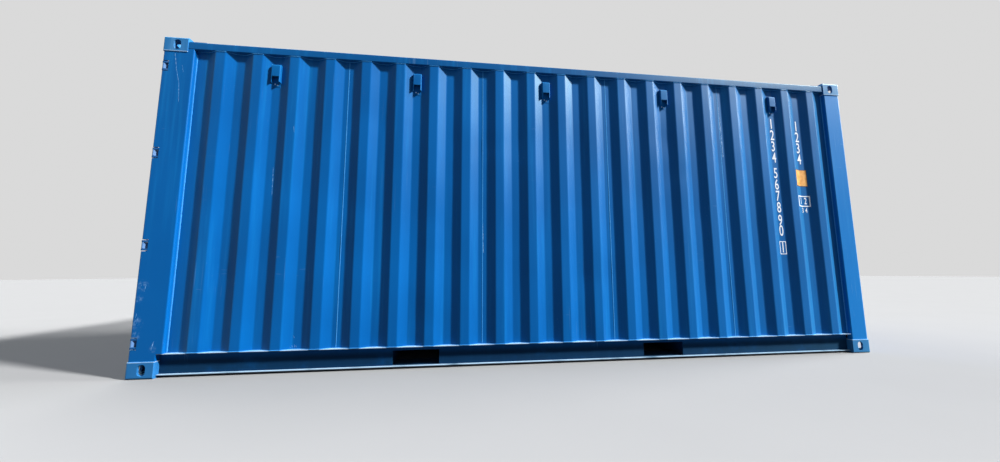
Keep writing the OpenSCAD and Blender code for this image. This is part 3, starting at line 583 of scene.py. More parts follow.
# The front posts' paint is lighter than the frame's: a painted sheen, the look of their faces at
# a slant.
front_post_sheen_paint = painted("front_post_sheen_paint", base=shade(8, 112, 190), deep=shade(4, 106, 182),
                           faded=shade(40, 128, 198), wear=0.8, chips=0.12, dust=0.5)
posts = [pressed("front_post", front_section, PLATE_T, (0.009, 0.014, 0.009),
                 np.linspace(POST_Z0, POST_Z1, 18), from_corner("front", side), steps=6)
         for side in SIDES]
finished(joined(posts, "front_corner_posts"), front_post_sheen_paint, "shell", "frame_paint",
         "front_posts")


# Door header, door sill and front rails
# Folded plates 4 mm thick across the container's width, welded between the castings, with the
# door end's lips for the leaves to close on.
for node in ("door_header", "door_sill", "front_sill", "front_top_rail"):
    eased(node, 0.0018, frame_paint, "frame_paint")


# Top side rails
# Square tube 60 mm wide and 3 mm thick, welded between the castings; its corners are drawn
# round. The front end stops short in a weld groove.
RAIL_END = 2.851
TOP_RAIL = 0.060
GROOVE = 0.013


def along_side(side):
    """A place on a long side: metres in from the side, height, and place along the side."""
    return lambda b, z, x: np.stack([x, in_from(side, b), z], -1)


low, high = TOP_RAIL_Z0, TOP_RAIL_Z0 + TOP_RAIL
out, back = FRAME_SET, FRAME_SET + TOP_RAIL
seam = (out, (low + high) / 2)
tube = [seam, (out, low), (back, low), (back, high), (out, high), seam]
rails = [pressed("top_rail", tube, 0.003, 0.006, np.linspace(-RAIL_END, RAIL_END - GROOVE, 30),
                 along_side(side), wraps=True) for side in SIDES]
top_rail_paint = painted("top_rail_paint", base=shade(2, 80, 142), deep=shade(0, 72, 132),
                         wear=0.5, chips=0.08, dust=0.5, reflected_sheen=0.8, gloss=0.16)
finished(joined(rails, "top_rails"), top_rail_paint, "shell", "frame_paint", "top_side_rails")


# Bottom side rails
# Plate 4.5 mm thick folded to a C: a wide flange on top that carries the wall, a web set back
# and cut through for the fork pockets, and a narrow lower flange.
RAIL_T = 0.0045
WEB_B = 0.056
POCKET_X = 1.040
POCKET_HALF = 0.180
POCKET_Z = (0.023, 0.136)
PALE_DUST = shade(160, 183, 208)
# The rail's pale lines along its flanges' edges are partly rubbed paint and partly a painted
# highlight; its darkening low on the web is partly road dirt and partly painted shade under the
# top flange.
rail_paint = painted("bottom_rail_paint", base=shade(0, 84, 150), deep=shade(0, 72, 134),
                     faded=shade(20, 98, 160), wear=0.5, chips=0.25, dust=1.0,
                     dirt_and_shade_below=(0.10, 0.162), rims=(0.0205, 0.168), settled=PALE_DUST)
rail_section = [(0.026, 0.018), (WEB_B, 0.018), (WEB_B, POCKET_Z[0]), (WEB_B, POCKET_Z[1]),
                (WEB_B, RAIL_TOP), (0.008, RAIL_TOP)]
pocket_edges = [s * POCKET_X + t * POCKET_HALF for s in (-1, 1) for t in (-1, 1)]


def rail_kept(b, z, x):
    in_pocket = np.abs(np.abs(x) - POCKET_X) < POCKET_HALF
    return ~(in_pocket & (z > POCKET_Z[0]) & (z < POCKET_Z[1]))


rail_stations = np.unique(np.round(np.append(np.linspace(-RAIL_END, RAIL_END, 40),
                                             pocket_edges), 5))
for side in SIDES:
    rail = pressed("bottom_rail_" + side, rail_section, RAIL_T, (0.009, 0, 0, 0.009),
                   rail_stations, along_side(side), rail_kept)
    finished(rail, rail_paint, "shell", "frame_paint", "bottom_side_rail_" + side)


# Side walls
# Five sheets a side, 2 mm thick, each pressed to four upright corrugations and butt welded to
# its neighbours in an inner face. Handling has left them slightly wavy.
WALL_SET = 0.008
WALL_T = 0.002
WALL_BEND = 0.032
WAVE_DEPTH = 0.032
WAVE_OUTER = 0.070
WAVE_INNER = 0.064
WAVE_SLOPE = 0.072
WAVE_PITCH = WAVE_OUTER + WAVE_INNER + 2 * WAVE_SLOPE
SHEET_JOINT = 0.008
SHEETS = 5
WAVES = 4
SHEET_W = WAVES * WAVE_PITCH + SHEET_JOINT
WALL_X0 = REAR + REAR_POST_L
WALL_X1 = FRONT - FRONT_POST_L
SHEET_X0 = WALL_X0 + 0.044
FIRST_WAVE = (SHEET_JOINT + WAVE_INNER) / 2
WALL_TROUGH = WALL_SET + WAVE_DEPTH
VENT_X = SHEET_X0 + SHEET_W * (np.arange(SHEETS) + 0.5)
VENT_Z = 2.335
VENT_STIFFENS = 0.11
wave_starts = (SHEET_X0 + FIRST_WAVE + SHEET_W * np.arange(SHEETS)[:, None]
               + WAVE_PITCH * np.arange(WAVES)).ravel()


def waves(starts, outer, slope, depth, level):
    """Corners of a row of corrugations: each falls from its start to the outer level and back."""
    steps = np.array([(0, depth), (slope, 0), (slope + outer, 0), (2 * slope + outer, depth)])
    corners = steps[None] + np.stack([starts, level + 0 * starts], -1)[:, None]
    return corners.reshape(-1, 2).tolist()


def swell(seed, height, longest, count=14):
    """A gently wavy field: a sum of sine waves of random direction, length and phase."""
    random = np.random.default_rng(seed)
    turn, phase = random.uniform(0, 2 * np.pi, (2, count))
    length = random.uniform(0.25, 1.0, count) * longest
    def field(u, v):
        along = np.multiply.outer(u, np.cos(turn)) + np.multiply.outer(v, np.sin(turn))
        return height * np.sin(2 * np.pi * along / length + phase).sum(-1) / math.sqrt(count)
    return field


def knocks(seed, count, u_range, v_range, depth, width):
    """Shallow round dents: depth·exp(-distance²/width²) at random places."""
    random = np.random.default_rng(seed)
    u0, v0 = random.uniform(*u_range, count), random.uniform(*v_range, count)
    deep, wide = depth * random.uniform(0.3, 1, count), width * random.uniform(0.5, 1, count)
    def field(u, v):
        away = np.subtract.outer(u, u0) ** 2 + np.subtract.outer(v, v0) ** 2
        return (deep * np.exp(-away / wide ** 2)).sum(-1)
    return field


wall_paint = painted("wall_paint", wear=0.15, chips=0.04, dust=0.2, roughness=0.4, gloss=0.17)
wall_corners = ([[WALL_X0, WALL_TROUGH]]
                + waves(wave_starts, WAVE_OUTER, WAVE_SLOPE, WAVE_DEPTH, WALL_SET)
                + [[RAIL_END, WALL_TROUGH], [WALL_X1, WALL_TROUGH]])
wall_stations = np.unique(np.round(np.append(np.linspace(RAIL_TOP, TOP_RAIL_Z0, 52), POST_Z1), 5))
wave_swell = swell(3, 0.0008, 1.6)
wave_knocks = knocks(5, 24, (WALL_X0, 2.05), (0.3, 2.2), 0.004, 0.15)


def held_edges(z):
    """0 at the wall's foot and head, where the rails hold it, and 1 from 0.2 m inside."""
    return np.clip(np.minimum(z - RAIL_TOP, TOP_RAIL_Z0 - z) / 0.2, 0, 1)


def held_at_vents(x, z):
    """0 at a ventilator, 1 - exp(-distance²/reach²) round it."""
    away = (x[..., None] - VENT_X) ** 2 + ((z - VENT_Z) ** 2)[..., None]
    return 1 - np.exp(-away.min(-1) / VENT_STIFFENS ** 2)


def along_wall(side):
    """A place on a side wall: place along it, metres in from the side, and height. It gives way
    where handling has pushed the wall."""
    turn = -SIDES[side]
    def put(x, b, z):
        x, b, z = np.broadcast_arrays(*(np.asarray(v, float) for v in (x, b, z)))
        pushed = wave_swell(turn * x, z) + wave_knocks(turn * x, z)
        b = b + held_edges(z) * held_at_vents(x, z) * pushed
        return np.stack([x, in_from(side, b), z], -1)
    return put


def wall_kept(x, b, z):
    return ~((x > RAIL_END) & (z > POST_Z1))


for side in SIDES:
    wall = pressed("corrugated_wall_" + side, wall_corners, WALL_T, WALL_BEND, wall_stations,
                   along_wall(side), wall_kept, steps=5)
    finished(wall, wall_paint, "shell", "blue_paint", "side_wall_" + side)


# Front wall
# Deeper, steeper corrugations than the sides', pressed in sheet 2 mm thick and welded to the
# front posts, the sill and the top rail.
FRONT_PITCH = 0.250
FRONT_CREST = 0.110
FRONT_SLOPE = 0.018
FRONT_DEPTH = 0.0456
FRONT_WAVES = 8
FRONT_HALF = LEFT_SIDE - FRONT_POST_W
HEAD_HALF = LEFT_SIDE - CASTING_W
row_half = (FRONT_WAVES - 1) * FRONT_PITCH / 2 + FRONT_CREST / 2 + FRONT_SLOPE
front_trough = WALL_SET + FRONT_DEPTH
front_corners = ([[-FRONT_HALF, front_trough], [-HEAD_HALF, front_trough]]
                 + waves(FRONT_PITCH * np.arange(FRONT_WAVES) - row_half, FRONT_CREST,
                         FRONT_SLOPE, FRONT_DEPTH, WALL_SET)
                 + [[HEAD_HALF, front_trough], [FRONT_HALF, front_trough]])
front_swell = swell(8, 0.001, 1.4)
front_knocks = knocks(9, 12, (-1, 1), (0.4, 2.2), 0.006, 0.15)
front = pressed("corrugated_front", front_corners, WALL_T, 0.007, wall_stations,
                lambda y, a, z: np.stack([FRONT - a, y, z], -1),
                lambda y, a, z: ~((np.abs(y) > HEAD_HALF) & (z > POST_Z1)), steps=5,
                sink=lambda y, a, z: held_edges(z) * (front_swell(y, z) + front_knocks(y, z)))
finished(front, wall_paint, "shell", "blue_paint", "front_wall")


# Roof
# One skin 2 mm thick with raised panels pressed across it, welded to the top rails, between flat
# plates at both ends.
ROOF_UNDER = TOP_RAIL_Z0 + TOP_RAIL
ROOF_T = 0.002
ROOF_RISE = 0.020
ROOF_PANELS = 25
CREST = 0.091
CREST_SLOPE = 0.0135
SIDE_SLOPE = 0.040
SIDE_FLAT = 0.062
roof_half_l = (FRONT - REAR) / 2 - 0.300
roof_half_w = LEFT_SIDE - 0.012
crest_starts = ((np.arange(ROOF_PANELS) - ROOF_PANELS // 2) * 2 * (CREST + CREST_SLOPE)
                - CREST / 2 - CREST_SLOPE)
lengthwise = bent_line([[-roof_half_l, 0]] + [
    [x, ROOF_RISE - z] for x, z in waves(crest_starts, CREST, CREST_SLOPE, ROOF_RISE, 0)]
    + [[roof_half_l, 0]], 0.006)[0]
crest_half = roof_half_w - SIDE_FLAT - SIDE_SLOPE
across = bent_line([[-roof_half_w, 0], [SIDE_FLAT - roof_half_w, 0], [-crest_half, ROOF_RISE],
                    [crest_half, ROOF_RISE], [roof_half_w - SIDE_FLAT, 0], [roof_half_w, 0]],
                   0.020, 6)[0]
half = len(across) // 2
middle_lines = np.linspace(across[half - 1, 0], across[half, 0], 18)[1:-1]
across_y = np.insert(across[:, 0], half, middle_lines)
across_z = np.insert(across[:, 1], half, ROOF_RISE + 0 * middle_lines)
roof_swell = swell(12, 0.0016, 1.5)
roof_x, roof_y = np.meshgrid(lengthwise[:, 0], across_y)
edge_hold = np.clip((roof_half_w - np.abs(roof_y)) / 0.3, 0, 1) * np.clip(
    (roof_half_l - np.abs(roof_x)) / 0.3, 0, 1)
roof_z = (ROOF_UNDER + np.minimum(lengthwise[None, :, 1], across_z[:, None])
          + edge_hold * (roof_swell(roof_x, roof_y) - 0.002))
roof = put_in_scene("roof_skin", *two_skins(np.stack([roof_x, roof_y, roof_z + ROOF_T], -1),
                                            np.stack([roof_x, roof_y, roof_z], -1)), 35)
roof_paint = painted("roof_paint", base=shade(0, 80, 146), deep=shade(0, 70, 132), wear=0.4,
                     chips=0.2, dust=0.6)
finished(roof, roof_paint, "shell", "blue_paint", "roof_panel")
eased("roof_end_plates", 0.001, roof_paint, "blue_paint")


# Base
# Pressed cross members, fork pocket plates and straps welded between the bottom side rails, in
# a thick dull coat against stones.
base_paint = painted("base_paint", base=shade(0, 56, 108), deep=shade(0, 42, 84),
                     faded=shade(16, 70, 122), wear=0.3, chips=0.4, dust=0.6, roughness=0.6,
                     dirt_and_shade_below=(0.0, 0.2), reflected_sheen=0.0)
for node in ("cross_members", "fork_pocket_plates", "floor_centre_rail"):
    eased(node, 0.001, base_paint, "base_paint")


# Floor
# Plywood boards 28 mm thick, oiled, screwed to each cross member. A steel threshold plate covers
# their ends at the doors.
def timber(name):
    """Oiled plywood: long grain, darker knots and tracks, and scratches across the grain."""
    f = new_finish(name)
    grain = f.noise((2.2, 46, 46), 5, 0.6)
    bands = f.noise((0.5, 9, 9), 3)
    stains = f.noise(1.6, 4)
    colour = f.mixed(f.between(grain, 0.3, 0.7), shade(96, 62, 36), shade(152, 108, 68))
    colour = f.mixed(f.between(bands, 0.45, 0.75) * 0.5, colour, shade(120, 78, 46))
    colour = f.mixed(f.between(stains, 0.5, 0.75) * 0.5, colour, shade(62, 46, 34))
    marks = f.between(f.noise((3, 140, 3), 2), 0.68, 0.74)
    colour = f.mixed(marks * 0.35, colour, shade(184, 150, 112))
    return f.surface(colour, grain * 0.2 + stains * 0.2 + 0.4, Normal=f.bump(grain, 0.4, 0.0006))


def bare_steel(name, colour, rust=0.2, metallic=0.85):
    """Galvanised or bare steel: mottled zinc, dull patches and rust where it is rubbed."""
    f = new_finish(name)
    spangle = f.node("ShaderNodeTexVoronoi", {}, Vector=f.place(), Scale=90.0).output("Distance")
    mottle = f.noise(14, 4)
    dark = tuple(c * 0.62 for c in colour[:3]) + (1,)
    zinc = f.mixed(spangle * 0.5 + mottle * 0.5, dark, colour)
    rusty = f.between(f.noise(11, 5, 0.65), 0.66 - 0.2 * rust, 0.74) * min(1, rust * 4)
    return f.surface(f.mixed(rusty, zinc, f.mixed(mottle, RUST, shade(128, 74, 40))),
                     mottle * 0.2 + rusty * 0.4 + 0.3, Metallic=(1 - rusty) * metallic,
                     Normal=f.bump(mottle + rusty, 0.3, 0.0006))


eased("floor_boards", 0.002, timber("plywood"), "floor_wood")
zinc = bare_steel("galvanised_steel", shade(176, 180, 186), rust=0.15)
eased("threshold_plate", 0.0008, zinc, "locking_steel")


# Ventilators
# Small pressed covers over holes near the top of the walls, one to a sheet, open below between
# two cheeks, with a rolled lip. Each stands on a back plate held by screws.
VENT_HALF = 0.033
VENT_OUT = 0.010
VENT_Z0 = 2.273
VENT_Z1 = 2.423
VENT_LIP_Z = VENT_Z0 + 0.048
PLATE_HALF = 0.030
PLATE_Z0 = 2.239
PLATE_B = WALL_TROUGH - 0.002
vent_z = np.array([VENT_Z0, VENT_Z0 + 0.003, VENT_LIP_Z, 2.37, 2.406, 2.412, 2.417, 2.420,
                   2.4222, VENT_Z1])
vent_lean = np.array([0, 0, 0, 0, 0, 0.0020, 0.0055, 0.0095, 0.0150, 0.0285])
vent_plan = [(-VENT_HALF, WALL_TROUGH), (-VENT_HALF, VENT_OUT), (VENT_HALF, VENT_OUT),
             (VENT_HALF, WALL_TROUGH)]


def vent_kept(x, b, z):
    return ~((np.abs(x) < VENT_HALF - 0.0055) & (z < VENT_LIP_Z) & (b < 0.02))


def vent_place(side, centre):
    """A place on a cover: across it, in from the wall's outer face, and height. Its head leans
    back to the wall."""
    put = along_wall(side)
    def place(x, b, z):
        lean = np.interp(z, vent_z, vent_lean)
        return put(centre + x, b + lean * (WALL_TROUGH - b) / (WALL_TROUGH - VENT_OUT), z)
    return place


vents = []
for side in SIDES:
    for centre in VENT_X:
        put = vent_place(side, centre)
        vents.append(pressed("vent", vent_plan, -0.002, 0.005, vent_z, put, vent_kept, steps=3))
        vents.append(pressed("vent_plate", [(-PLATE_HALF, PLATE_B), (PLATE_HALF, PLATE_B)],
                             0.0018, 0, (PLATE_Z0, VENT_Z1), put))
vent_paint = painted("vent_paint", base=shade(0, 96, 160), wear=0.5, chips=0.05, dust=0.4,
                     roughness=0.6)
finished(joined(vents, "ventilators"), vent_paint, "shell", "blue_paint", "vent_covers")


# Lashing rings
# Round bars bent to a ring and welded at the wall's foot and head inside, for tying goods down.
# They wear the frame's paint.
eased("lashing_rings", 0.0006, frame_paint, "frame_paint", angle=50)


# Hinge lugs and cam keepers
# Forged lugs, each with its pin, welded in the posts' notches, and galvanised keepers for the
# rods' cams welded to the sill and the header. Paint has worn off the lugs.
lug_steel = painted("lug_paint", base=shade(40, 84, 138), faded=shade(84, 116, 160),
                    deep=shade(24, 72, 126), wear=1.0, chips=0.8, dust=0.4)
eased("hinge_lugs", 0.001, lug_steel, "locking_steel")
eased("cam_keepers", 0.001, zinc, "locking_steel")


# Doors
# Two leaves: a welded frame, a panel 2 mm thick pressed to five deep bands, a rubber gasket round
# the edge, hinge blades on the face, and two locking rods each in brackets.
door_paint = painted("door_paint", wear=0.4, chips=0.08, dust=0.3, reflected_sheen=0.1)
WINDOW_B = (0.161, 1.108)
WINDOW_Z = (0.319, 2.279)
PANEL_FACE = 0.079
BANDS = 5
BAND_DEPTH = 0.036
BAND_HALF = 0.075
BAND_SLOPE = 0.030
band_z = WINDOW_Z[1] - (np.arange(BANDS) + 0.5) * (WINDOW_Z[1] - WINDOW_Z[0]) / BANDS
panel_corners = [(PANEL_FACE, WINDOW_Z[1])]
for z in band_z:
    panel_corners += [(PANEL_FACE, z + BAND_HALF + BAND_SLOPE),
                      (PANEL_FACE + BAND_DEPTH, z + BAND_HALF),
                      (PANEL_FACE + BAND_DEPTH, z - BAND_HALF),
                      (PANEL_FACE, z - BAND_HALF - BAND_SLOPE)]
panel_corners.append((PANEL_FACE, WINDOW_Z[0]))
panel_swell = swell(31, 0.0007, 0.8)


def panel_sink(a, z, b):
    """How far a door panel gives way, nothing at its upright edges."""
    held = np.clip(np.minimum(b - WINDOW_B[0], WINDOW_B[1] - b) / 0.1, 0, 1)
    return panel_swell(b, z) * held


def rubber(name):
    """Black door rubber: dusty, faintly lined along its length."""
    f = new_finish(name)
    dusty = f.between(f.noise(9, 4), 0.35, 0.8)
    return f.surface(f.mixed(dusty * 0.5, shade(20, 20, 21), shade(74, 74, 74)),
                     dusty * 0.2 + 0.6, Normal=f.bump(f.noise(180, 2), 0.2, 0.0004))


seal = rubber("seal_rubber")
blade_paint = painted("blade_paint", base=shade(110, 138, 180), faded=shade(140, 160, 192),
                      deep=shade(84, 120, 168), wear=1.0, chips=0.8, dust=0.4)
for side in SIDES:
    eased("door_frame_" + side, 0.003, door_paint, "blue_paint")
    put = from_corner("rear", side)
    panel = pressed("pressed_panel_" + side, panel_corners, 0.002, 0.010,
                    np.linspace(*WINDOW_B, 14), lambda a, z, b: put(a, b, z), steps=5,
                    sink=panel_sink)
    finished(panel, door_paint, "door_" + side, "blue_paint", "door_panel_" + side)
    eased("door_gasket_" + side, 0.001, seal, "seal_rubber")
    eased("door_hinges_" + side, 0.0015, blade_paint, "locking_steel")
    eased("lock_rods_" + side, 0.001, zinc, "locking_steel")
    eased("rod_brackets_" + side, 0.0008, zinc, "locking_steel")


# Welds
# Arc welds: upright ones where wall sheets meet and at the posts, running ones along the walls'
# feet and heads, and fillets at the castings and hinge lugs. Painted over, slightly uneven.
BEAD_SIDES = 6
UP = (0, 0, 1)


def strand(path, radius, facing, flat=1.0, uneven=0.2, seed=1):
    """A closed rod along a path: ring i is path[i] + r·(flat·cos a·u + sin a·v), where u is
    `facing` made square to the path and v crosses both; r varies by `uneven` and tapers at the
    ends."""
    path = np.asarray(path, float)
    tangent = np.gradient(path, axis=0)
    tangent /= np.linalg.norm(tangent, axis=1, keepdims=True)
    u = facing - tangent * (tangent @ facing)[:, None]
    u /= np.linalg.norm(u, axis=1, keepdims=True)
    v = np.cross(tangent, u)
    r = radius * (1 + uneven * np.random.default_rng(seed).uniform(-1, 1, len(path)))
    r[[0, -1]] *= 0.4
    a = np.linspace(0, 2 * np.pi, BEAD_SIDES, endpoint=False)[:, None]
    points = path[:, None] + r[:, None, None] * (flat * np.cos(a) * u[:, None]
                                                 + np.sin(a) * v[:, None])
    index = np.arange(len(path) * BEAD_SIDES).reshape(len(path), BEAD_SIDES)
    return points.reshape(-1, 3), [ring_faces(index), index[:1, ::-1], index[-1:]]


def gathered(name, solids):
    """Many closed solids, each (points, faces), in one mesh."""
    points, faces, count = [], {}, 0
    for spots, groups in solids:
        for group in groups:
            faces.setdefault(group.shape[1], []).append(group + count)
        points.append(spots)
        count += len(spots)
    return put_in_scene(name, np.concatenate(points),
                        [np.concatenate(f) for f in faces.values()], 60)


def run(start, end, pitch=0.012):
    """Evenly spaced points from start to end."""
    start, end = np.asarray(start, float), np.asarray(end, float)
    count = max(3, int(np.linalg.norm(end - start) / pitch))
    return start + (end - start) * np.linspace(0, 1, count)[:, None]


def around(corners, pitch=0.006):
    """Evenly spaced points along straight runs between corners."""
    return np.concatenate([run(a, b, pitch)[:-1] for a, b in zip(corners, corners[1:])]
                          + [np.asarray(corners[-1:], float)])


BEAD = 0.0028
LUG_A = (0.016, 0.056)
LUG_B = 0.034
joint_x = SHEET_X0 + SHEET_W * np.arange(1, SHEETS)
wall_line = bent_line(wall_corners, WALL_BEND, 3)[0]
beads = []
for side, out_y in SIDES.items():
    facing = (0, out_y, 0)
    put = along_wall(side)
    for x in joint_x:
        ends = [put(x, WALL_TROUGH - 0.0004, z) for z in (RAIL_TOP, TOP_RAIL_Z0)]
        beads.append(strand(run(*ends), BEAD, facing, 0.45, 0.18, int(1000 + 100 * x)))
    for x, seed in ((WALL_X0 + 0.0015, 2), (WALL_X1 - 0.0015, 3)):
        ends = [put(x, WALL_TROUGH - 0.0015, z) for z in (RAIL_TOP, POST_Z1)]
        beads.append(strand(run(*ends), 0.005, facing, 0.8, 0.15, seed))
    for z in (RAIL_TOP + 0.001, TOP_RAIL_Z0 - 0.001):
        beads.append(strand(put(wall_line[:, 0], wall_line[:, 1] - 0.001, z), 0.0024, UP, seed=4))
    for end, reach, wide in (("rear", CASTING_L, REAR_POST_W), ("front", FRONT_POST_L, 0.148)):
        put = from_corner(end, side)
        for z in (POST_Z0 + 0.0008, POST_Z1 - 0.0008):
            corners = [put(a, b, z) for a, b in
                       ((FRAME_SET, wide), (FRAME_SET, FRAME_SET + 0.008),
                        (FRAME_SET + 0.008, FRAME_SET), (reach, FRAME_SET))]
            beads.append(strand(around(corners), 0.0026, UP, 0.8, seed=5))
    put = from_corner("rear", side)
    for z in np.add.outer(HINGE_Z, (-0.041, 0.041)).ravel():
        ends = [put(a, LUG_B, z) for a in LUG_A]
        beads.append(strand(run(*ends, 0.004), 0.0034, facing, seed=6))
    put = along_side(side)
    ends = [put(0.016, z, RAIL_END - GROOVE / 2)
            for z in (TOP_RAIL_Z0 + 0.004, TOP_RAIL_Z0 + TOP_RAIL - 0.004)]
    beads.append(strand(run(*ends, 0.005), 0.007, facing, uneven=0.1, seed=8))
# The welds' paint is paler than the walls': a painted highlight of beads that catch the light.
weld_highlight_paint = painted("weld_highlight_paint", base=shade(74, 156, 222), deep=shade(58, 140, 206),
                     faded=shade(112, 174, 224), wear=1.0, chips=0.0, dust=0.4, roughness=0.34)
finished(gathered("weld_beads", beads), weld_highlight_paint, "shell", "frame_paint")
panel_line = bent_line(panel_corners, 0.010, 3)[0]
for side in SIDES:
    put = from_corner("rear", side)
    beads = [strand(put(panel_line[:, 0] - 0.0008, b, panel_line[:, 1]), 0.0026, (0, 1, 0),
                    seed=11) for b in (WINDOW_B[0] + 0.001, WINDOW_B[1] - 0.001)]
    for z in (WINDOW_Z[0] + 0.001, WINDOW_Z[1] - 0.001):
        ends = [put(PANEL_FACE - 0.0008, b, z) for b in WINDOW_B]
        beads.append(strand(run(*ends), 0.0026, UP, seed=12))
    finished(gathered("door_welds_" + side, beads), weld_highlight_paint, "door_" + side, "blue_paint")


# Screws, bolts and rivets
# Dome heads, pressed or screwed in: on the ventilators' feet, the hinge blades and the rod
# brackets' feet, and countersunk rows in the floor.
def domes(centres, facing, radius, height, sides=10):
    """A dome head at each centre: rings of radius r·(1, 1, 0.85, 0.45) at heights
    h·(0, 0.35, 0.8, 1) along `facing`, closed by a flat top and bottom."""
    facing = np.asarray(facing, float)
    u = np.cross(facing, (0.3, 0.5, 0.81))
    u /= np.linalg.norm(u)
    v = np.cross(facing, u)
    a = np.linspace(0, 2 * np.pi, sides, endpoint=False)[:, None]
    share, lift = np.array([(1, 1, 0.85, 0.45), (0, 0.35, 0.8, 1)])[..., None, None]
    head = radius * share * (np.cos(a) * u + np.sin(a) * v) + height * lift * facing
    points = np.reshape(centres, (-1, 1, 1, 3)) + head
    index = np.arange(4 * sides).reshape(4, sides)
    shift = np.arange(len(points))[:, None, None] * 4 * sides
    return points.reshape(-1, 3), [(group + shift).reshape(-1, group.shape[1]) for group in
                                   (ring_faces(index), index[:1, ::-1], index[-1:])]


VENT_SCREWS = ((-0.011, 2.264), (0.008, 2.256))
VENT_SCREW_B = 0.0382
screw_zinc = bare_steel("screw_zinc", shade(184, 218, 252), rust=0.0, metallic=0.1)
vent_screws = []
lips = []
for side, out_y in SIDES.items():
    facing = (0, out_y, 0)
    put = along_wall(side)
    for x in VENT_X:
        ends = [put(x + dx, VENT_OUT + 0.001, VENT_LIP_Z)
                for dx in (0.006 - VENT_HALF, VENT_HALF - 0.006)]
        lips.append(strand(run(*ends, 0.01), 0.0022, facing, uneven=0))
    spots = [put(VENT_X + dx, VENT_SCREW_B, z) for dx, z in VENT_SCREWS]
    vent_screws.append(domes(np.concatenate(spots), facing, 0.0055, 0.003))
finished(gathered("vent_screws", vent_screws), screw_zinc, "shell", "locking_steel")
# The ventilators' lips take the welds' paler paint, a painted highlight.
finished(gathered("vent_lips", lips), weld_highlight_paint, "shell", "blue_paint")

POCKET_SIDES = np.array([POCKET_X - POCKET_HALF, POCKET_X + POCKET_HALF])
FLOOR_X = (-2.835, 2.949)
FLOOR_TOP = 0.167
FLANGE_HALF = 0.0225
MEMBERS_APART = 0.300
pocket_members = POCKET_SIDES + (-FLANGE_HALF, FLANGE_HALF)


def members_between(start, end):
    """Flange middles of the cross members spread evenly between two places."""
    bays = math.ceil((end - start) / MEMBERS_APART - 1e-6)
    return start + (end - start) * np.arange(1, bays) / bays + FLANGE_HALF


member_x = np.concatenate([members_between(FLOOR_X[0], -POCKET_SIDES[1]),
                           members_between(-POCKET_SIDES[0], POCKET_SIDES[0]),
                           members_between(POCKET_SIDES[1], FLOOR_X[1]),
                           pocket_members, -pocket_members])
screw_y = np.linspace(0.05, 1.13, 6)
x, y = (m.ravel() for m in np.meshgrid(member_x, np.concatenate([-screw_y, screw_y])))
floor_screws = domes(np.stack([x, y, 0 * x + FLOOR_TOP - 0.0002], -1), UP, 0.0065, 0.0010)
finished(gathered("floor_screws", [floor_screws]), zinc, "shell", "locking_steel")

LEAF_B = (0.061, 1.208)
LEAF_Z = (0.169, 2.429)
DOOR_FACE = 0.076
CROSS_RAIL_H = 0.150
OUTWARDS = (-1, 0, 0)
rod_b = LEAF_B[0] + 0.235, LEAF_B[1] - 0.235
blade_b = LEAF_B[0] + 0.016 + np.array([0.035, 0.070, 0.105, 0.135])
band_pitch = (LEAF_Z[1] - LEAF_Z[0] - 2 * CROSS_RAIL_H) / BANDS
bracket_levels = [(LEAF_Z[0] + CROSS_RAIL_H / 2, 0), (LEAF_Z[1] - CROSS_RAIL_H / 2, 0),
                  (LEAF_Z[0] + CROSS_RAIL_H + band_pitch, 0.003),
                  (LEAF_Z[1] - CROSS_RAIL_H - band_pitch, 0.003)]
for side in SIDES:
    put = from_corner("rear", side)
    body = "door_" + side
    b, z = (m.ravel() for m in np.meshgrid(blade_b, np.add.outer(HINGE_Z, (-0.022, 0.022))))
    rivets = domes(put(DOOR_FACE - 0.010, b, z), OUTWARDS, 0.0075, 0.0045)
    bolts = []
    for centre, deeper in bracket_levels:
        b, z = (m.ravel() for m in np.meshgrid(np.add.outer(rod_b, (-0.033, 0.033)),
                                               (centre - 0.018, centre + 0.018)))
        bolts.append(domes(put(DOOR_FACE + deeper - 0.004, b, z), OUTWARDS, 0.006, 0.005, 6))
    finished(gathered("door_rivets_" + side, [rivets]), blade_paint, body, "locking_steel")
    finished(gathered("door_bolts_" + side, bolts), screw_zinc, body, "locking_steel")


# Painted marks
# White figures put on by stencil down two inner faces near the front end, and a plate glued to
# the second. They only count up, and stand for nothing.
MARK_T = 0.0003
MARK_X = (2.275, 2.5445)
MARK_Z = (2.1515, 2.037, 1.9265, 1.815, 1.663, 1.552, 1.442, 1.332, 1.222, 1.112, 0.956)
FIGURE_H = 0.094
FIGURE_NARROW = 0.62
SECOND_ROW_Z = 2.139 - 0.1106 * np.arange(4)
PLATE_X = (2.465, 2.599)
PLATE_Z = (1.547, 1.705)
f = new_finish("white_marking_paint")
worn = f.between(f.noise(60, 4, 0.6), 0.62, 0.72)
figure_paint = f.surface(f.mixed(worn * 0.6, shade(236, 240, 244), shade(150, 176, 206)),
                         worn * 0.2 + 0.45, Specular_IOR_Level=0.3)


def on_wall(x, z, lift):
    """A place on the right wall's outer surface, lifted off it."""
    return along_wall("right")(x, np.interp(x, *wall_line.T) - lift, z)


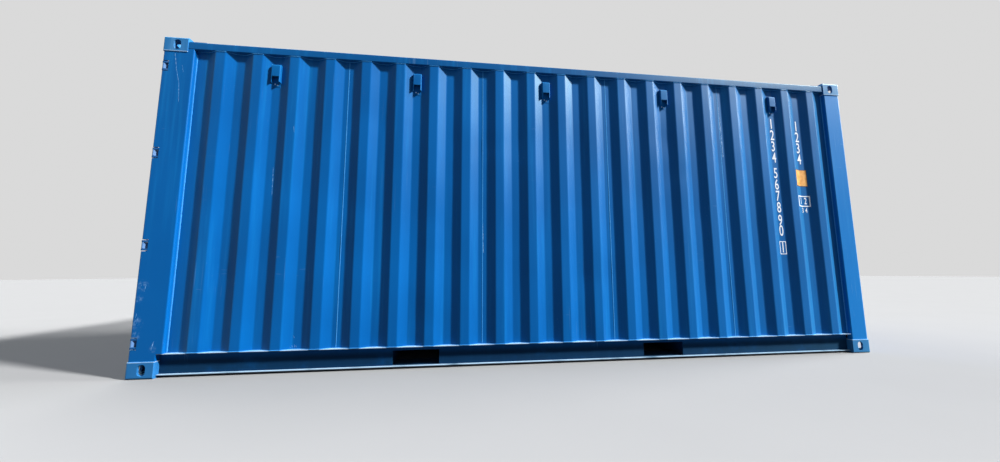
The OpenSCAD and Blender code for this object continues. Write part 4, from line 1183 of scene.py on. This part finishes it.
def figure(sign, x, z, height):
    """One figure as a thin closed mesh laid on the right wall, its middle at (x, z). A nine is a
    six turned round."""
    turned = -1 if sign == "9" else 1
    curve = bpy.data.curves.new("figure", "FONT")
    curve.body = sign.replace("9", "6")
    curve.align_x, curve.align_y = "CENTER", "CENTER"
    curve.size = height * 1.5
    curve.offset = 0.0006 + 0.0004 * height / 0.09
    curve.extrude = MARK_T
    writing = linked("figure", curve)
    bpy.context.view_layer.update()
    mesh = bpy.data.meshes.new_from_object(writing.evaluated_get(
        bpy.context.evaluated_depsgraph_get()))
    bpy.data.objects.remove(writing)
    merged(mesh, 0.00001)
    flat = np.empty(len(mesh.vertices) * 3, np.float32)
    mesh.vertices.foreach_get("co", flat)
    u, v, w = flat.reshape(-1, 3).T * np.array([[turned], [turned], [1]])
    spots = on_wall(x + FIGURE_NARROW * u, z + v, 2 * MARK_T + w)
    mesh.vertices.foreach_set("co", spots.astype(np.float32).ravel())
    mesh.update()
    return linked("figure", mesh)


def outline(x, z, width, height, line):
    """A thin rectangular line laid on the right wall round (x, z)."""
    share = np.linspace(-1, 1, 12, endpoint=False)
    one = 1 + 0 * share
    ring = np.concatenate([np.stack(s, -1) for s in
                           ((share, -one), (one, share), (-share, one), (-one, -share))])
    half = np.array([(width / 2, height / 2), (width / 2 - line, height / 2 - line)])
    spots = ring[None] * half[:, None]
    skins = [on_wall(x + spots[..., 0], z + spots[..., 1], lift)
             for lift in (3 * MARK_T, MARK_T)]
    return put_in_scene("outline", *two_skins(*skins, wraps=True), 35)


rows = ([(sign, MARK_X[0], z, FIGURE_H) for sign, z in zip("12345678901", MARK_Z)]
        + [(sign, MARK_X[1], z, FIGURE_H) for sign, z in zip("1234", SECOND_ROW_Z)]
        + [("1", 2.512, 1.400, 0.060), ("2", 2.564, 1.400, 0.060),
           ("3", 2.526, 1.310, 0.044), ("4", 2.564, 1.310, 0.044)])
figures = [figure(*row) for row in rows] + [
    outline(MARK_X[0], MARK_Z[-1], 0.068, 0.120, 0.006),
    outline(2.538, 1.400, 0.142, 0.104, 0.009)]
finished(joined(figures, "wall_figures"), figure_paint, "shell", "blue_paint")

f = new_finish("orange_plate")
cloud = f.noise(26, 4)
plate_paint = f.surface(f.mixed(f.between(cloud, 0.3, 0.75), shade(214, 146, 60),
                                shade(240, 178, 92)), cloud * 0.2 + 0.35)
plate_x, plate_z = np.meshgrid(np.linspace(*PLATE_X, 16), np.linspace(*PLATE_Z, 8))
plate = put_in_scene("orange_plate", *two_skins(on_wall(plate_x, plate_z, 2.5 * MARK_T),
                                                on_wall(plate_x, plate_z, MARK_T)), 35)
finished(plate, plate_paint, "shell", "blue_paint")
border = outline(2.532, 1.626, 0.140, 0.164, 0.006)
border.name = "plate_border"
finished(border, seal, "shell", "blue_paint")


# Scratches
# Pale scores where handling gear has rubbed through the top coat of the right rear post and the
# right wall: long ones that run down, and short ones in groups.
def score(corners, put, width, seed):
    """An uneven flat strand along a wandering line through the corners, width `width`."""
    path = around([put(x, z) for x, z in corners], 0.009)
    drift = np.random.default_rng(seed).normal(0, 0.0003, (len(path), 1))
    return strand(path + np.cumsum(drift, 0) * (1, 0, 0), width, (0, -1, 0), 0.2, 0.8, seed)


def on_post(x, z):
    return np.array([x, RIGHT_SIDE + FRAME_SET, z])


def just_off_wall(x, z):
    return on_wall(x, z, 0.0003)


scores = [score([(-2.940, 2.456), (-2.915, 2.308), (-2.892, 2.208), (-2.880, 2.057)], on_post,
                0.0010, 21),
          score([(-2.880, 2.362), (-2.867, 2.303)], on_post, 0.0008, 22)]
random = np.random.default_rng(23)
for centre, spread, count in (((-3.000, 0.375), (0.010, 0.035), 4),
                              ((-2.872, 0.204), (0.014, 0.012), 2),
                              ((-2.985, 0.640), (0.015, 0.04), 2)):
    for k in range(count):
        start = np.array(centre) + random.normal(0, 1, 2) * spread
        end = start + (0.003, 0.01) + random.uniform(0, 1, 2) * (0.006, 0.05)
        scores.append(score([start, end], on_post, 0.0010, 30 + k))
for x, z, long in ((-2.035, 1.908, 0.05), (-2.180, 1.570, 0.22), (-1.949, 0.272, 0.022),
                   (-1.956, 0.200, 0.018), (-1.940, 0.206, 0.024), (-1.929, 0.196, 0.012),
                   (-1.968, 0.190, 0.010), (-0.520, 1.2, 0.3), (1.727, 2.3, 0.5),
                   (1.735, 2.2, 0.4)):
    scores.append(score([(x, z), (x + 0.006, z - long)], just_off_wall, 0.0011, int(1000 * z)))
f = new_finish("scored_paint")
mottle = f.noise(120, 3)
score_paint = f.surface(f.mixed(f.between(mottle, 0.35, 0.65), shade(70, 140, 200),
                                shade(150, 190, 222)), mottle * 0.3 + 0.4)
finished(gathered("scratches", scores), score_paint, "shell", "frame_paint")
